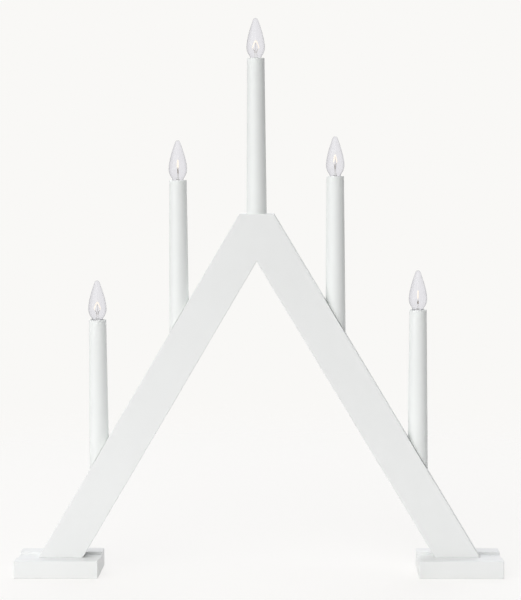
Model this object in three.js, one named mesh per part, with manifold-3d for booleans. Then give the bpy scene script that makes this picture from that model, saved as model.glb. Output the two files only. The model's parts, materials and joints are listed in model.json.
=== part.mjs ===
// Electric advent candlestick: an inverted V of two painted boards on two grooved feet, carrying five
// candle-shaped lamp holders with drop-shaped screw lamps, wired in series through a channel in the
// back of the boards. Millimetres, +Z up, the front faces -Y, the origin is on the floor between the feet.
import * as THREE from 'three';
import { mergeVertices } from 'three/addons/utils/BufferGeometryUtils.js';
import Module from 'manifold-3d';

const wasm = await Module();
wasm.setup();

// Clearance between pieces that fit into each other
const fitGap = 0.3;
const cutMargin = 1; // how far a cut runs past a face
const weldDistance = 1e-4;

// Boards of the inverted V
const legLean = THREE.MathUtils.degToRad(30.7); // slope of each leg away from upright
const legWidth = 35; // across the board, seen from the front
const legThickness = 23; // front to back
const frameHeight = 327.5; // floor to the flat on the apex
const apexFlatWidth = 31;

// Feet
const footLength = 76;
const footDepth = 54;
const footHeight = 16;
const footOutset = 1; // middle of the foot beyond the middle of the leg's end
const grooveDepth = 2.5; // shallow groove that the leg stands in

// Dowels across the joint at the apex
const dowelRadius = 3;
const dowelLength = 30;
const dowelRise = 7; // lower dowel above the crotch of the legs
const dowelPitch = 9;
const dowelFront = 5.5; // dowels in front of the board's middle plane

// Screws through each foot into the leg
const screwRadius = 2;
const screwHeadRadius = 3.8;
const screwHeadHeight = 2.9;
const screwLength = 26; // from under the head
const screwRecess = 0.8; // head above the floor
const screwSpacing = 14;
const screwShift = 3.7; // pair moved towards the crotch, where the leaning board has more wood

// Wire channel in the back of the boards, and the strip that covers it
const channelShift = 2; // channel's middle from the board's middle, towards the crotch
const channelWidth = 9;
const channelDepth = 13;
const channelAboveScrews = 6;
const apexCover = 12.5; // wood above the channel at the apex
const coverLedge = 4.5; // strip beside the channel on each side
const coverThickness = 2;
const coverOverlap = 4; // strip beyond the channel's lower end
const coverTopMargin = 6.8; // wood above the strip at the apex

// Bush for the mains cord, in the strip on the left leg
const inletRise = 10; // above the channel's lower end
const inletNeckRadius = 4;
const inletFlangeRadius = 6.5;
const inletFlangeThickness = 1.5;
const inletNeckLength = 7;
const inletSlotWidth = 3.6;
const inletSlotHeight = 5.8;

// Insulated conductors
const wireRadius = 0.8;
const wireSides = 6;
const pairSpread = 1.05; // half the distance between the two conductors in a lamp holder
const laneSpread = 1.8; // half the distance between the two lanes of the channel
const seriesLaneY = 3.2;
const returnLaneY = 6;
const boreLaneY = -0.4;
const bendReach = 2; // rounding of a bend along each straight
const longestBend = 0.45; // largest share of a straight that a bend takes
const turnRise = 3 * wireRadius; // height in which a wire swings into or out of a lane
const laneDrop = 2 * wireRadius;
const ceilingGap = 4 * wireRadius; // wires below the channel's ceiling
const leadSpread = 4.8; // height in which the leads close up above a peg

// Candles: seats on the sloping edges, as shares of the height from the leg's end to the apex, and
// lengths of the tubes on their axes, from the wood to the rim
const outerSeatShare = 0.30648;
const innerSeatShare = 0.70446;
const outerLeftTube = 122.5;
const innerLeftTube = 123.2;
const topTube = 138.6;
const innerRightTube = 126;
const outerRightTube = 130.5;

// Screw lamp: cap with a 9.5 mm thread, glass drop, stem and filament
const capThreadRadius = 4.7;
const capFlangeRadius = 5.1;
const capFlangeHeight = 0.8;
const capRecess = 0.8; // cap's top below the rim of the tube
const capHeight = 9.6; // flange and thread
const capConeHeight = 1.2;
const capConeRadius = 2.6;
const capTipRadius = 1.9;
const capTipHeight = 0.7;
const glassNeckRadius = 5;
const glassRadius = 8.3;
const glassHeight = 35.6; // above the rim
const glassBellyHeight = 9.8; // widest ring above the rim
const glassTipRadius = 2.6; // shoulder of the rounded tip
const glassTipHeight = 2.3;
const glassWall = 0.6;
const neckFlare = [0.2, 0.25]; // slopes of the drop's outline: shares of each run's width and height
const bellyBelow = 0.48;
const bellyAbove = 0.3;
const shoulderLead = [0.42, 0.714];
const crownFlat = 0.73;
const stemBaseRadius = 3.2;
const stemFlareHeight = 2;
const stemRadius = 1.2;
const stemHeight = 7.3;
const filamentRadius = 0.28;
const filamentSpan = 2.9; // half the distance between the filament's ends
const filamentRise = 2.4; // ends above the stem
const filamentHeight = 6.3; // peak above the ends
const filamentBow = 0.62; // height of the legs' middles as a share of the peak's
const leadBow = [0.3, 0.5]; // middle of a lead as shares of its width and height
const supportRadius = 0.15;

// Lamp holder
const threadGap = 0.25; // running clearance of the lamp's thread
const shellWall = 0.25;
const shellTopGap = 0.6; // shell's top below the holder's top
const threadEndGap = 1.5; // holder's ledge below the lamp's thread
const holderRecess = 2; // holder's top below the rim of the tube
const holderWall = 1;
const holderFloor = 2;
const pocketRadius = 3.2;
const contactNubRadius = 1.2;
const contactNubTopRadius = 0.9;
const contactNubHeight = 1.1;
const contactDiscHeight = 0.6;
const rivetRadius = 0.8;
const tagLength = 2; // rivet and solder tag below the holder's floor
const tagThickness = 0.8;
const tagWidth = 2;
const tagRadius = 4; // inner face of the solder tag from the axis
const stalkWall = 1.2;
const stalkFloor = 1.5;
const pegRadius = 3.7;
const pegWall = 1.1;
const slopedPegDepth = 20;
const pegAboveChannel = 0.5; // peg of the top candle ends this far above the channel
const slopeMargin = 0.6; // shoulder of a holder above the slope it straddles
const collarRise = 4; // collar above the shoulder
const collarHeight = 3;

// Candle tube
const tubeWall = 1.1;
const tubeTaper = 0.0085; // growth of the radius per millimetre down the tube

// Facets
const tubeSides = 24;
const lampSides = 16;
const smallSides = 12;
const screwSides = 10;
const outerGlassSteps = [3, 4, 2]; // neck to belly, belly to shoulder, tip
const innerGlassSteps = [2, 3, 1];

const paint = material(0xe6e8e5, 0.5);
const candlePlastic = material(0xeeeeea, 0.42);
const whitePlastic = material(0xe4e2da, 0.5);
const stripWhite = material(0xdcdcd8, 0.65);
const beech = material(0xcfae7f, 0.75);
const steel = material(0xa9abad, 0.35, 0.9);
const brass = material(0xc9a557, 0.3, 0.9);
const nickel = material(0xbfc1c2, 0.28, 0.9);
const clearGlass = material(0xe9edf0, 0.05);
const stemGlass = material(0xb9bcba, 0.15);
const hotFilament = material(0xffdfa8, 0.4);
const wireWhite = material(0xe8e8e4, 0.5);

// Lines of the frame, worked out from the sizes
const tanLean = Math.tan(legLean);
const cosLean = Math.cos(legLean);
const sinLean = Math.sin(legLean);
const outerPeak = frameHeight + apexFlatWidth / 2 / tanLean; // where the outer edges would meet
const legEnd = footHeight - grooveDepth;
const rearFace = legThickness / 2;
const channelMiddle = legWidth / 2 + channelShift; // square to the outer edge
const screwTip = screwRecess + screwHeadHeight + fitGap + screwLength;
const channelEnd = screwTip + channelAboveScrews;
const channelCeiling = frameHeight - apexCover;
const channelFloorY = rearFace - channelDepth;
const coverSeatY = rearFace - coverThickness;
const inletZ = channelEnd + inletRise;

// Radii of the nested pieces, from the lamp's thread outwards
const shellInner = capThreadRadius + threadGap;
const shellOuter = shellInner + shellWall;
const holderBore = shellOuter + fitGap;
const holderRadius = holderBore + holderWall;
const tubeRimBore = holderRadius + fitGap;
const tubeRimRadius = tubeRimBore + tubeWall;
const stalkBore = holderRadius - stalkWall;
const pegBore = pegRadius - pegWall;
const boreRadius = pegRadius + fitGap;
const tagOuter = tagRadius + tagThickness;

// Levels inside a tube, measured from its rim
const threadBottom = -capRecess - capHeight;
const coneBottom = threadBottom - capConeHeight;
const tipBottom = coneBottom - capTipHeight;
const ledgeLevel = threadBottom - threadEndGap;
const shellTop = -holderRecess - shellTopGap;
const shellBottom = ledgeLevel + fitGap;
const nubTop = tipBottom - fitGap;
const discTop = nubTop - contactNubHeight;
const pocketFloor = discTop - contactDiscHeight;
const floorBottom = pocketFloor - holderFloor;
const tagEnd = floorBottom - tagLength;

function material(color, roughness, metalness = 0) {
  return new THREE.MeshStandardMaterial({ color, roughness, metalness });
}

// Distance of a line that runs along the leg from the middle plane, at a height. The line lies at
// an inset from the outer edge, square to it.
function legX(z, inset) {
  return (outerPeak - z) * tanLean - inset / cosLean;
}

// Height at which the same line stands at a distance from the middle plane.
function legZ(x, inset) {
  return outerPeak - (x + inset / cosLean) / tanLean;
}

// A closed mesh with shared vertices, no flat triangles and its faces pointing out.
function closed(geometry) {
  const bare = geometry.clone();
  bare.deleteAttribute('normal');
  bare.deleteAttribute('uv');
  const merged = mergeVertices(bare, weldDistance);
  const corner = merged.attributes.position;
  const kept = [];
  let volume = 0;
  const [a, b, c] = [new THREE.Vector3(), new THREE.Vector3(), new THREE.Vector3()];
  for (let i = 0; i < merged.index.count; i += 3) {
    const face = [merged.index.getX(i), merged.index.getX(i + 1), merged.index.getX(i + 2)];
    if (new Set(face).size < 3) continue;
    a.fromBufferAttribute(corner, face[0]);
    b.fromBufferAttribute(corner, face[1]);
    c.fromBufferAttribute(corner, face[2]);
    volume += a.dot(b.cross(c));
    kept.push(...face);
  }
  merged.setIndex(volume < 0 ? kept.reverse() : kept);
  return merged;
}

function toSolid(geometry) {
  const mesh = closed(geometry);
  return new wasm.Manifold(new wasm.Mesh({
    numProp: 3,
    vertProperties: new Float32Array(mesh.attributes.position.array),
    triVerts: new Uint32Array(mesh.index.array),
  }));
}

function toGeometry(solid) {
  const mesh = solid.getMesh();
  const geometry = new THREE.BufferGeometry();
  geometry.setAttribute('position', new THREE.BufferAttribute(mesh.vertProperties, 3));
  geometry.setIndex(new THREE.BufferAttribute(mesh.triVerts, 1));
  return geometry;
}

// The first geometry less all the others.
function cut(geometry, tools) {
  let solid = toSolid(geometry);
  for (const tool of tools) {
    solid = solid.subtract(toSolid(tool));
  }
  return toGeometry(solid);
}

function join(first, second) {
  return toGeometry(toSolid(first).add(toSolid(second)));
}

// An outline in X and Z, carried along Y.
function prism(outline, fromY, toY) {
  const shape = new THREE.Shape(outline.map(([x, z]) => new THREE.Vector2(x, z)));
  const geometry = new THREE.ExtrudeGeometry(shape, { depth: toY - fromY, bevelEnabled: false });
  return closed(geometry.rotateX(Math.PI / 2).translate(0, toY, 0));
}

function block([x0, x1], [y0, y1], [z0, z1]) {
  const geometry = new THREE.BoxGeometry(x1 - x0, y1 - y0, z1 - z0);
  return geometry.translate((x0 + x1) / 2, (y0 + y1) / 2, (z0 + z1) / 2);
}

// A profile of [radius, height] pairs turned about a vertical axis through the origin.
function turned(profile, sides) {
  const points = profile.map(([radius, height]) => new THREE.Vector2(radius, height));
  return closed(new THREE.LatheGeometry(points, sides).rotateX(Math.PI / 2));
}

// A ring profile that closes on itself.
function turnedRing(profile, sides) {
  return turned([...profile, profile[0]], sides);
}

function upright(radius, sides, x, y, [z0, z1]) {
  const geometry = new THREE.CylinderGeometry(radius, radius, z1 - z0, sides);
  return geometry.rotateX(Math.PI / 2).translate(x, y, (z0 + z1) / 2);
}

function alongY(radius, sides, x, z, [y0, y1]) {
  const geometry = new THREE.CylinderGeometry(radius, radius, y1 - y0, sides);
  return geometry.translate(x, (y0 + y1) / 2, z);
}

function alongX(radius, sides, y, z, [x0, x1]) {
  const geometry = new THREE.CylinderGeometry(radius, radius, x1 - x0, sides);
  return geometry.rotateZ(Math.PI / 2).translate((x0 + x1) / 2, y, z);
}

// A route with one section at each of its points.
class Route extends THREE.CatmullRomCurve3 {
  getPointAt(share, target) {
    return this.getPoint(share, target);
  }

  getTangentAt(share, target) {
    return this.getTangent(share, target);
  }
}

function strand(points, radius, sides) {
  const section = new THREE.Shape();
  for (let i = 0; i < sides; i++) {
    const angle = (i / sides) * 2 * Math.PI;
    const [x, y] = [radius * Math.cos(angle), radius * Math.sin(angle)];
    if (i === 0) section.moveTo(x, y);
    else section.lineTo(x, y);
  }
  section.closePath();
  const path = new Route(points.map((point) => new THREE.Vector3(...point)), false, 'centripetal');
  return closed(new THREE.ExtrudeGeometry(section, { steps: points.length - 1, extrudePath: path }));
}

const candlestick = new THREE.Group();

function addPiece(name, geometry, finish, place = [0, 0, 0]) {
  const mesh = new THREE.Mesh(geometry, finish.clone());
  mesh.name = name;
  mesh.position.set(...place);
  candlestick.add(mesh);
}

const candles = [
  { name: 'outer_left', side: -1, seatShare: outerSeatShare, tubeLength: outerLeftTube },
  { name: 'inner_left', side: -1, seatShare: innerSeatShare, tubeLength: innerLeftTube },
  { name: 'top', side: 0, seatShare: 1, tubeLength: topTube },
  { name: 'inner_right', side: 1, seatShare: innerSeatShare, tubeLength: innerRightTube },
  { name: 'outer_right', side: 1, seatShare: outerSeatShare, tubeLength: outerRightTube },
];
for (const candle of candles) {
  const sloped = candle.side !== 0;
  candle.seat = legEnd + candle.seatShare * (frameHeight - legEnd); // wood on the candle's axis
  candle.x = candle.side * legX(candle.seat, 0);
  candle.rim = candle.seat + candle.tubeLength;
  candle.pegEnd = sloped ? candle.seat - slopedPegDepth : channelCeiling + pegAboveChannel;
  candle.shoulder = sloped ? candle.seat + holderRadius / tanLean + slopeMargin : candle.seat;
  candle.boreEnd = sloped ? legZ(Math.abs(candle.x), channelMiddle) : channelCeiling - boreRadius;
}

// Four-sided band along one leg between two insets, cut level at its lower end and below a ceiling.
function legBand(side, insets, lowZ, highZ, middleGap = 0) {
  const [near, far] = insets;
  const nearTop = Math.min(highZ, legZ(middleGap, near));
  const outline = [
    [legX(lowZ, far), lowZ],
    [legX(lowZ, near), lowZ],
    [legX(nearTop, near), nearTop],
  ];
  if (nearTop === highZ) outline.push([middleGap, highZ]);
  outline.push([middleGap, legZ(middleGap, far)]);
  return outline.map(([x, z]) => [side * x, z]);
}

function legBoard(side) {
  const board = prism(legBand(side, [0, legWidth], legEnd, frameHeight), -rearFace, rearFace);
  const channelInsets = [channelMiddle - channelWidth / 2, channelMiddle + channelWidth / 2];
  const rebateInsets = [
    channelInsets[0] - coverLedge - fitGap,
    channelInsets[1] + coverLedge + fitGap,
  ];
  const rebateEnd = channelEnd - coverOverlap - fitGap;
  const rebateTop = frameHeight - coverTopMargin;
  const past = rearFace + cutMargin;
  const pastMiddle = -cutMargin;
  const tools = [
    prism(legBand(side, channelInsets, channelEnd, channelCeiling, pastMiddle), channelFloorY, past),
    prism(legBand(side, rebateInsets, rebateEnd, rebateTop, pastMiddle), coverSeatY, past),
    ...candles.filter((candle) => candle.side === side || candle.side === 0).map((candle) =>
      upright(boreRadius, lampSides, candle.x, 0, [candle.boreEnd, candle.rim])),
    ...dowelHeights().map((z) => alongX(
      dowelRadius + fitGap, smallSides, -dowelFront, z,
      [-dowelLength / 2 - fitGap, dowelLength / 2 + fitGap],
    )),
    ...screwPlaces(side).map((x) =>
      upright(screwRadius + fitGap, screwSides, x, 0, [0, screwTip + fitGap])),
  ];
  return cut(board, tools);
}

function dowelHeights() {
  const crotch = legZ(0, legWidth);
  return [crotch + dowelRise, crotch + dowelRise + dowelPitch];
}

function screwPlaces(side) {
  const middle = legX(legEnd, legWidth / 2) - screwShift;
  return [side * (middle - screwSpacing / 2), side * (middle + screwSpacing / 2)];
}

function addFrame(side, sideName) {
  addPiece(`${sideName}_leg`, legBoard(side), paint);
  addFoot(side, sideName);
  addCover(side, sideName);
}

function addFoot(side, sideName) {
  const middle = side * (legX(legEnd, legWidth / 2) + footOutset);
  const halfGroove = legThickness / 2 + fitGap;
  const headRoom = screwRecess + screwHeadHeight + fitGap;
  const tools = [
    block(
      [middle - footLength, middle + footLength],
      [-halfGroove, halfGroove],
      [legEnd, footHeight + cutMargin],
    ),
  ];
  screwPlaces(side).forEach((x, i) => {
    tools.push(upright(screwRadius + fitGap, screwSides, x, 0, [-cutMargin, footHeight]));
    tools.push(upright(screwHeadRadius + fitGap, screwSides, x, 0, [-cutMargin, headRoom]));
    addPiece(`${sideName}_foot_screw_${['inner', 'outer'][i]}`, footScrew(), steel, [x, 0, 0]);
  });
  const halfLength = footLength / 2;
  const slab = block(
    [middle - halfLength, middle + halfLength], [-footDepth / 2, footDepth / 2], [0, footHeight],
  );
  addPiece(`${sideName}_foot`, cut(slab, tools), paint);
}

function footScrew() {
  const headTop = screwRecess + screwHeadHeight;
  return turned([
    [0, screwRecess],
    [screwHeadRadius, screwRecess],
    [screwHeadRadius, headTop],
    [screwRadius, headTop],
    [screwRadius, screwTip - screwRadius],
    [0, screwTip],
  ], screwSides);
}

function addCover(side, sideName) {
  const insets = [
    channelMiddle - channelWidth / 2 - coverLedge,
    channelMiddle + channelWidth / 2 + coverLedge,
  ];
  const top = frameHeight - coverTopMargin - fitGap;
  const outline = legBand(side, insets, channelEnd - coverOverlap, top, fitGap / 2);
  const holes = [];
  if (side < 0) {
    const x = side * legX(inletZ, channelMiddle);
    const past = [coverSeatY - cutMargin, rearFace + cutMargin];
    holes.push(alongY(inletNeckRadius + fitGap, lampSides, x, inletZ, past));
  }
  addPiece(`${sideName}_channel_cover`, cut(prism(outline, coverSeatY, rearFace), holes), stripWhite);
}

function addDowels() {
  dowelHeights().forEach((z, i) => {
    const dowel = alongX(dowelRadius, smallSides, 0, 0, [-dowelLength / 2, dowelLength / 2]);
    addPiece(`apex_dowel_${['lower', 'upper'][i]}`, closed(dowel), beech, [0, -dowelFront, z]);
  });
}

function addInletBush() {
  const x = -legX(inletZ, channelMiddle);
  const neckEnd = rearFace - inletNeckLength;
  const flange = alongY(inletFlangeRadius, lampSides, x, inletZ, [rearFace, rearFace + inletFlangeThickness]);
  const neck = alongY(inletNeckRadius, lampSides, x, inletZ, [neckEnd, rearFace + inletFlangeThickness / 2]);
  const slot = block(
    [x - inletSlotWidth / 2, x + inletSlotWidth / 2],
    [neckEnd - cutMargin, rearFace + inletFlangeThickness + cutMargin],
    [inletZ - inletSlotHeight / 2, inletZ + inletSlotHeight / 2],
  );
  addPiece('cord_inlet_bush', cut(join(flange, neck), [slot]), whitePlastic);
}

// The tapered sleeve, cut along the slope of the wood it stands on.
function candleTube(candle) {
  const { seat, rim, x, side } = candle;
  const lowest = side === 0 ? seat : seat - 2 * tubeRimRadius / tanLean - tubeRimRadius;
  const growth = (rim - lowest) * tubeTaper;
  const sleeve = turnedRing([
    [tubeRimBore + growth, lowest],
    [tubeRimRadius + growth, lowest],
    [tubeRimRadius, rim],
    [tubeRimBore, rim],
  ], tubeSides).translate(x, 0, 0);
  if (side === 0) return sleeve;
  const reach = 2 * tubeRimRadius;
  const gap = fitGap / sinLean;
  const wood = prism([
    [x - side * reach, seat + reach / tanLean + gap],
    [x - side * reach, lowest - cutMargin],
    [x + side * reach, lowest - cutMargin],
    [x + side * reach, seat - reach / tanLean + gap],
  ], -reach, reach);
  return cut(sleeve, [wood]);
}

// Moulded lamp holder: socket, floor, hollow stalk with a collar, and the peg in the wood.
function lampHolder(candle) {
  const { rim, shoulder, pegEnd, side } = candle;
  const collarLow = shoulder + collarRise;
  const collarHigh = collarLow + collarHeight;
  const collarRadius = tubeRimBore + (rim - collarHigh) * tubeTaper - fitGap;
  const body = turnedRing([
    [pegBore, pegEnd],
    [pegRadius, pegEnd],
    [pegRadius, shoulder],
    [holderRadius, shoulder],
    [holderRadius, collarLow],
    [collarRadius, collarLow],
    [collarRadius, collarHigh],
    [holderRadius, collarHigh],
    [holderRadius, rim - holderRecess],
    [holderBore, rim - holderRecess],
    [holderBore, rim + ledgeLevel],
    [pocketRadius, rim + ledgeLevel],
    [pocketRadius, rim + pocketFloor],
    [rivetRadius + fitGap, rim + pocketFloor],
    [rivetRadius + fitGap, rim + floorBottom],
    [stalkBore, rim + floorBottom],
    [stalkBore, shoulder + stalkFloor],
    [pegBore, shoulder + stalkFloor],
  ], lampSides);
  const slot = tagBlock(side, tagRadius - fitGap, tagOuter + fitGap, tagWidth / 2 + fitGap, [
    rim + floorBottom - cutMargin, rim + ledgeLevel + cutMargin,
  ]);
  return cut(body, [slot]).translate(candle.x, 0, 0);
}

// Where the solder tag stands: towards the apex, and to the right on the top candle.
function tagDirection(side) {
  return side > 0 ? -1 : 1;
}

function tagBlock(side, inner, outer, halfWidth, levels) {
  const ends = [tagDirection(side) * inner, tagDirection(side) * outer];
  return block([Math.min(...ends), Math.max(...ends)], [-halfWidth, halfWidth], levels);
}

function screwShell(candle) {
  const { rim, side, x } = candle;
  const ring = turnedRing([
    [shellInner, rim + shellBottom],
    [shellOuter, rim + shellBottom],
    [shellOuter, rim + shellTop],
    [shellInner, rim + shellTop],
  ], lampSides);
  const bridge = tagBlock(side, tagRadius, (shellInner + shellOuter) / 2, tagWidth / 2, [
    rim + shellBottom, rim + shellBottom + fitGap,
  ]);
  const tag = tagBlock(side, tagRadius, tagOuter, tagWidth / 2, [
    rim + tagEnd, rim + shellBottom + fitGap / 2,
  ]);
  return join(join(ring, bridge), tag).translate(x, 0, 0);
}

function centreContact(candle) {
  const { rim, x } = candle;
  return turned([
    [0, rim + tagEnd],
    [rivetRadius, rim + tagEnd],
    [rivetRadius, rim + pocketFloor],
    [pocketRadius - fitGap, rim + pocketFloor],
    [pocketRadius - fitGap, rim + discTop],
    [contactNubRadius, rim + discTop],
    [contactNubTopRadius, rim + nubTop],
    [0, rim + nubTop],
  ], smallSides).translate(x, 0, 0);
}

function lampCap() {
  const flangeBottom = -capRecess - capFlangeHeight;
  return turned([
    [0, tipBottom],
    [capTipRadius, tipBottom],
    [capTipRadius, coneBottom],
    [capConeRadius, coneBottom],
    [capThreadRadius, threadBottom],
    [capThreadRadius, flangeBottom],
    [capFlangeRadius, flangeBottom],
    [capFlangeRadius, -capRecess],
    [0, -capRecess],
  ], lampSides);
}

// Half outline of the drop, from its neck to the tip on the axis, taken in by an offset.
function dropOutline(offset, [lowerSteps, upperSteps, tipSteps]) {
  const neck = glassNeckRadius - offset;
  const belly = glassRadius - offset;
  const shoulder = glassTipRadius - offset;
  const tip = glassHeight - offset;
  const shoulderZ = glassHeight - glassTipHeight - offset;
  const rise = shoulderZ - glassBellyHeight;
  const neckTop = new THREE.Vector2(neck, capRecess);
  const bellyRing = new THREE.Vector2(belly, glassBellyHeight);
  const shoulderRing = new THREE.Vector2(shoulder, shoulderZ);
  const lower = new THREE.CubicBezierCurve(
    neckTop,
    new THREE.Vector2(neck + (belly - neck) * neckFlare[0], glassBellyHeight * neckFlare[1]),
    new THREE.Vector2(belly, glassBellyHeight * bellyBelow),
    bellyRing,
  );
  const upper = new THREE.CubicBezierCurve(
    bellyRing,
    new THREE.Vector2(belly, glassBellyHeight + rise * bellyAbove),
    new THREE.Vector2(
      shoulder + (belly - shoulder) * shoulderLead[0],
      glassBellyHeight + rise * shoulderLead[1],
    ),
    shoulderRing,
  );
  const crown = new THREE.QuadraticBezierCurve(
    shoulderRing,
    new THREE.Vector2(shoulder * crownFlat, tip),
    new THREE.Vector2(0, tip),
  );
  return [
    [neck, fitGap - capRecess],
    ...lower.getPoints(lowerSteps).map((point) => point.toArray()),
    ...upper.getPoints(upperSteps).slice(1).map((point) => point.toArray()),
    ...crown.getPoints(tipSteps).slice(1).map((point) => point.toArray()),
  ];
}

function lampGlass() {
  const outside = dropOutline(0, outerGlassSteps);
  const inside = dropOutline(glassWall, innerGlassSteps);
  return turned([...outside.reverse(), ...inside], lampSides);
}

function lampStem() {
  const bottom = fitGap - capRecess;
  return turned([
    [0, bottom],
    [stemBaseRadius, bottom],
    [stemRadius, bottom + stemFlareHeight],
    [stemRadius, stemHeight - capRecess],
    [0, stemHeight - capRecess],
  ], smallSides);
}

// Leads that spread from the stem, the peaked filament between them, and the wire that props it.
function lampFilament() {
  const foot = stemHeight - capRecess + fitGap;
  const endZ = foot + filamentRise;
  const peak = endZ + filamentHeight;
  const root = stemRadius / 2;
  const leadX = root + (filamentSpan - root) * leadBow[0];
  const leadZ = foot + filamentRise * leadBow[1];
  const bowZ = endZ + filamentHeight * filamentBow;
  const arch = strand([
    [-root, 0, foot],
    [-leadX, 0, leadZ],
    [-filamentSpan, 0, endZ],
    [-filamentSpan / 2, 0, bowZ],
    [0, 0, peak],
    [filamentSpan / 2, 0, bowZ],
    [filamentSpan, 0, endZ],
    [leadX, 0, leadZ],
    [root, 0, foot],
  ], filamentRadius, wireSides);
  return join(arch, upright(supportRadius, wireSides, 0, 0, [foot, peak]));
}

function addCandle(candle) {
  const prefix = candle.name;
  const lampPlace = [candle.x, 0, candle.rim];
  addPiece(`${prefix}_candle_tube`, candleTube(candle), candlePlastic);
  addPiece(`${prefix}_lamp_holder`, lampHolder(candle), whitePlastic);
  addPiece(`${prefix}_screw_shell`, screwShell(candle), brass);
  addPiece(`${prefix}_centre_contact`, centreContact(candle), brass);
  addPiece(`${prefix}_bulb_base`, lampCap(), nickel, lampPlace);
  addPiece(`${prefix}_bulb_glass`, lampGlass(), clearGlass, lampPlace);
  addPiece(`${prefix}_bulb_stem`, lampStem(), stemGlass, lampPlace);
  addPiece(`${prefix}_bulb_filament`, lampFilament(), hotFilament, lampPlace);
}

// Corners of a route rounded by a short bend on each side.
function bent(points, reach) {
  const vectors = points.map((point) => new THREE.Vector3(...point));
  const route = [vectors[0]];
  for (let i = 1; i < vectors.length - 1; i++) {
    const before = vectors[i - 1].clone().sub(vectors[i]);
    const after = vectors[i + 1].clone().sub(vectors[i]);
    const room = Math.min(before.length(), after.length()) * longestBend;
    const start = vectors[i].clone().add(before.setLength(Math.min(reach, room)));
    const end = vectors[i].clone().add(after.setLength(Math.min(reach, room)));
    const bend = new THREE.QuadraticBezierCurve3(start, vectors[i], end);
    route.push(start, bend.getPoint(0.5), end);
  }
  route.push(vectors[vectors.length - 1]);
  return route.map((vector) => vector.toArray());
}

// A point of a lane of the channel, given by its height, and its depth along Y.
function lanePoint(side, inset, z, y) {
  return [side * legX(z, inset), y, z];
}

const seriesInset = channelMiddle - laneSpread;
const returnInset = channelMiddle + laneSpread;

// Conductor in a lamp holder, from its tag or rivet down to the wood's channel.
function tagLead(candle) {
  const { rim, x, side, shoulder } = candle;
  const toApex = tagDirection(side);
  const underTag = stalkBore - wireRadius - 2 * fitGap;
  const top = rim + tagEnd - fitGap;
  const necking = shoulder + stalkFloor;
  return [
    [x + toApex * underTag, 0, top],
    [x + toApex * underTag, 0, necking + leadSpread],
    [x + toApex * pairSpread, boreLaneY, necking + stalkWall],
  ];
}

function rivetLead(candle) {
  const { rim, x, side, shoulder } = candle;
  const toFoot = -tagDirection(side);
  const top = rim + tagEnd - fitGap;
  const necking = shoulder + stalkFloor;
  return [
    [x, 0, top],
    [x, 0, necking + leadSpread],
    [x + toFoot * pairSpread, boreLaneY, necking + stalkWall],
  ];
}

// From the foot side: up the lane and straight into the bore.
function lowerEntry(candle) {
  const { x, side } = candle;
  const away = Math.abs(x) + pairSpread;
  const turn = legZ(away, seriesInset);
  return [
    [side * away, boreLaneY, turn + turnRise],
    [side * away, seriesLaneY, turn - laneDrop],
  ];
}

// From the apex side: down the bore, back towards the strip, then up the lane.
function upperEntry(candle) {
  const { x, side } = candle;
  const near = Math.abs(x) - pairSpread;
  const turn = legZ(near, seriesInset);
  return [
    [side * near, boreLaneY, turn - turnRise],
    [side * near, seriesLaneY, turn - turnRise],
    lanePoint(side, seriesInset, turn + turnRise, seriesLaneY),
  ];
}

// Beside the top candle's bore, where a lane of one leg ends under the apex.
function apexEntry(side) {
  const approach = legZ(boreRadius, seriesInset) - turnRise;
  const level = Math.min(approach, channelCeiling - ceilingGap);
  return [
    lanePoint(side, seriesInset, level, seriesLaneY),
    [side * pairSpread, boreLaneY, channelCeiling - wireRadius],
  ];
}

function addWires() {
  const [outerLeft, innerLeft, top, innerRight, outerRight] = candles;
  const inletX = -legX(inletZ, channelMiddle);
  const innerEnd = rearFace - inletNeckLength - fitGap;
  const addWire = (name, points) =>
    addPiece(name, strand(bent(points, bendReach), wireRadius, wireSides), wireWhite);

  addWire('wire_inlet_to_outer_left', [
    [inletX - pairSpread, innerEnd, inletZ],
    [inletX - pairSpread, seriesLaneY - laneSpread, inletZ],
    lanePoint(-1, seriesInset, inletZ + inletRise, seriesLaneY),
    ...lowerEntry(outerLeft).reverse(),
    ...rivetLead(outerLeft).reverse(),
  ]);
  addWire('wire_outer_left_to_inner_left', [
    ...tagLead(outerLeft),
    ...upperEntry(outerLeft),
    ...lowerEntry(innerLeft).reverse(),
    ...rivetLead(innerLeft).reverse(),
  ]);
  addWire('wire_inner_left_to_top', [
    ...tagLead(innerLeft),
    ...upperEntry(innerLeft),
    ...apexEntry(-1),
    ...rivetLead(top).reverse(),
  ]);
  addWire('wire_top_to_inner_right', [
    ...tagLead(top),
    ...apexEntry(1).reverse(),
    ...upperEntry(innerRight).reverse(),
    ...tagLead(innerRight).reverse(),
  ]);
  addWire('wire_inner_right_to_outer_right', [
    ...rivetLead(innerRight),
    ...lowerEntry(innerRight),
    ...upperEntry(outerRight).reverse(),
    ...tagLead(outerRight).reverse(),
  ]);
  const turnBack = (legZ(outerRight.x, seriesInset) + channelEnd) / 2;
  addWire('wire_outer_right_to_inlet', [
    ...rivetLead(outerRight),
    ...lowerEntry(outerRight),
    lanePoint(1, seriesInset, turnBack, seriesLaneY),
    lanePoint(1, returnInset, turnBack, returnLaneY),
    [0, returnLaneY, legZ(0, returnInset)],
    lanePoint(-1, returnInset, inletZ + inletRise, returnLaneY),
    [inletX + pairSpread, seriesLaneY - laneSpread, inletZ],
    [inletX + pairSpread, innerEnd, inletZ],
  ]);
}

addFrame(-1, 'left');
addFrame(1, 'right');
addDowels();
addInletBush();
addWires();
for (const candle of candles) {
  addCandle(candle);
}

export default candlestick;
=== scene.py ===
"""Electric advent candlestick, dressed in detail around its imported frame.

Two painted boards lean together on grooved feet and carry five candle sleeves. Each sleeve holds a
lamp holder with a small screw lamp. Lengths in the code are millimetres; meshes are in metres.
"""
import json
from math import comb, cos, pi, radians, sin, tan

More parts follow.
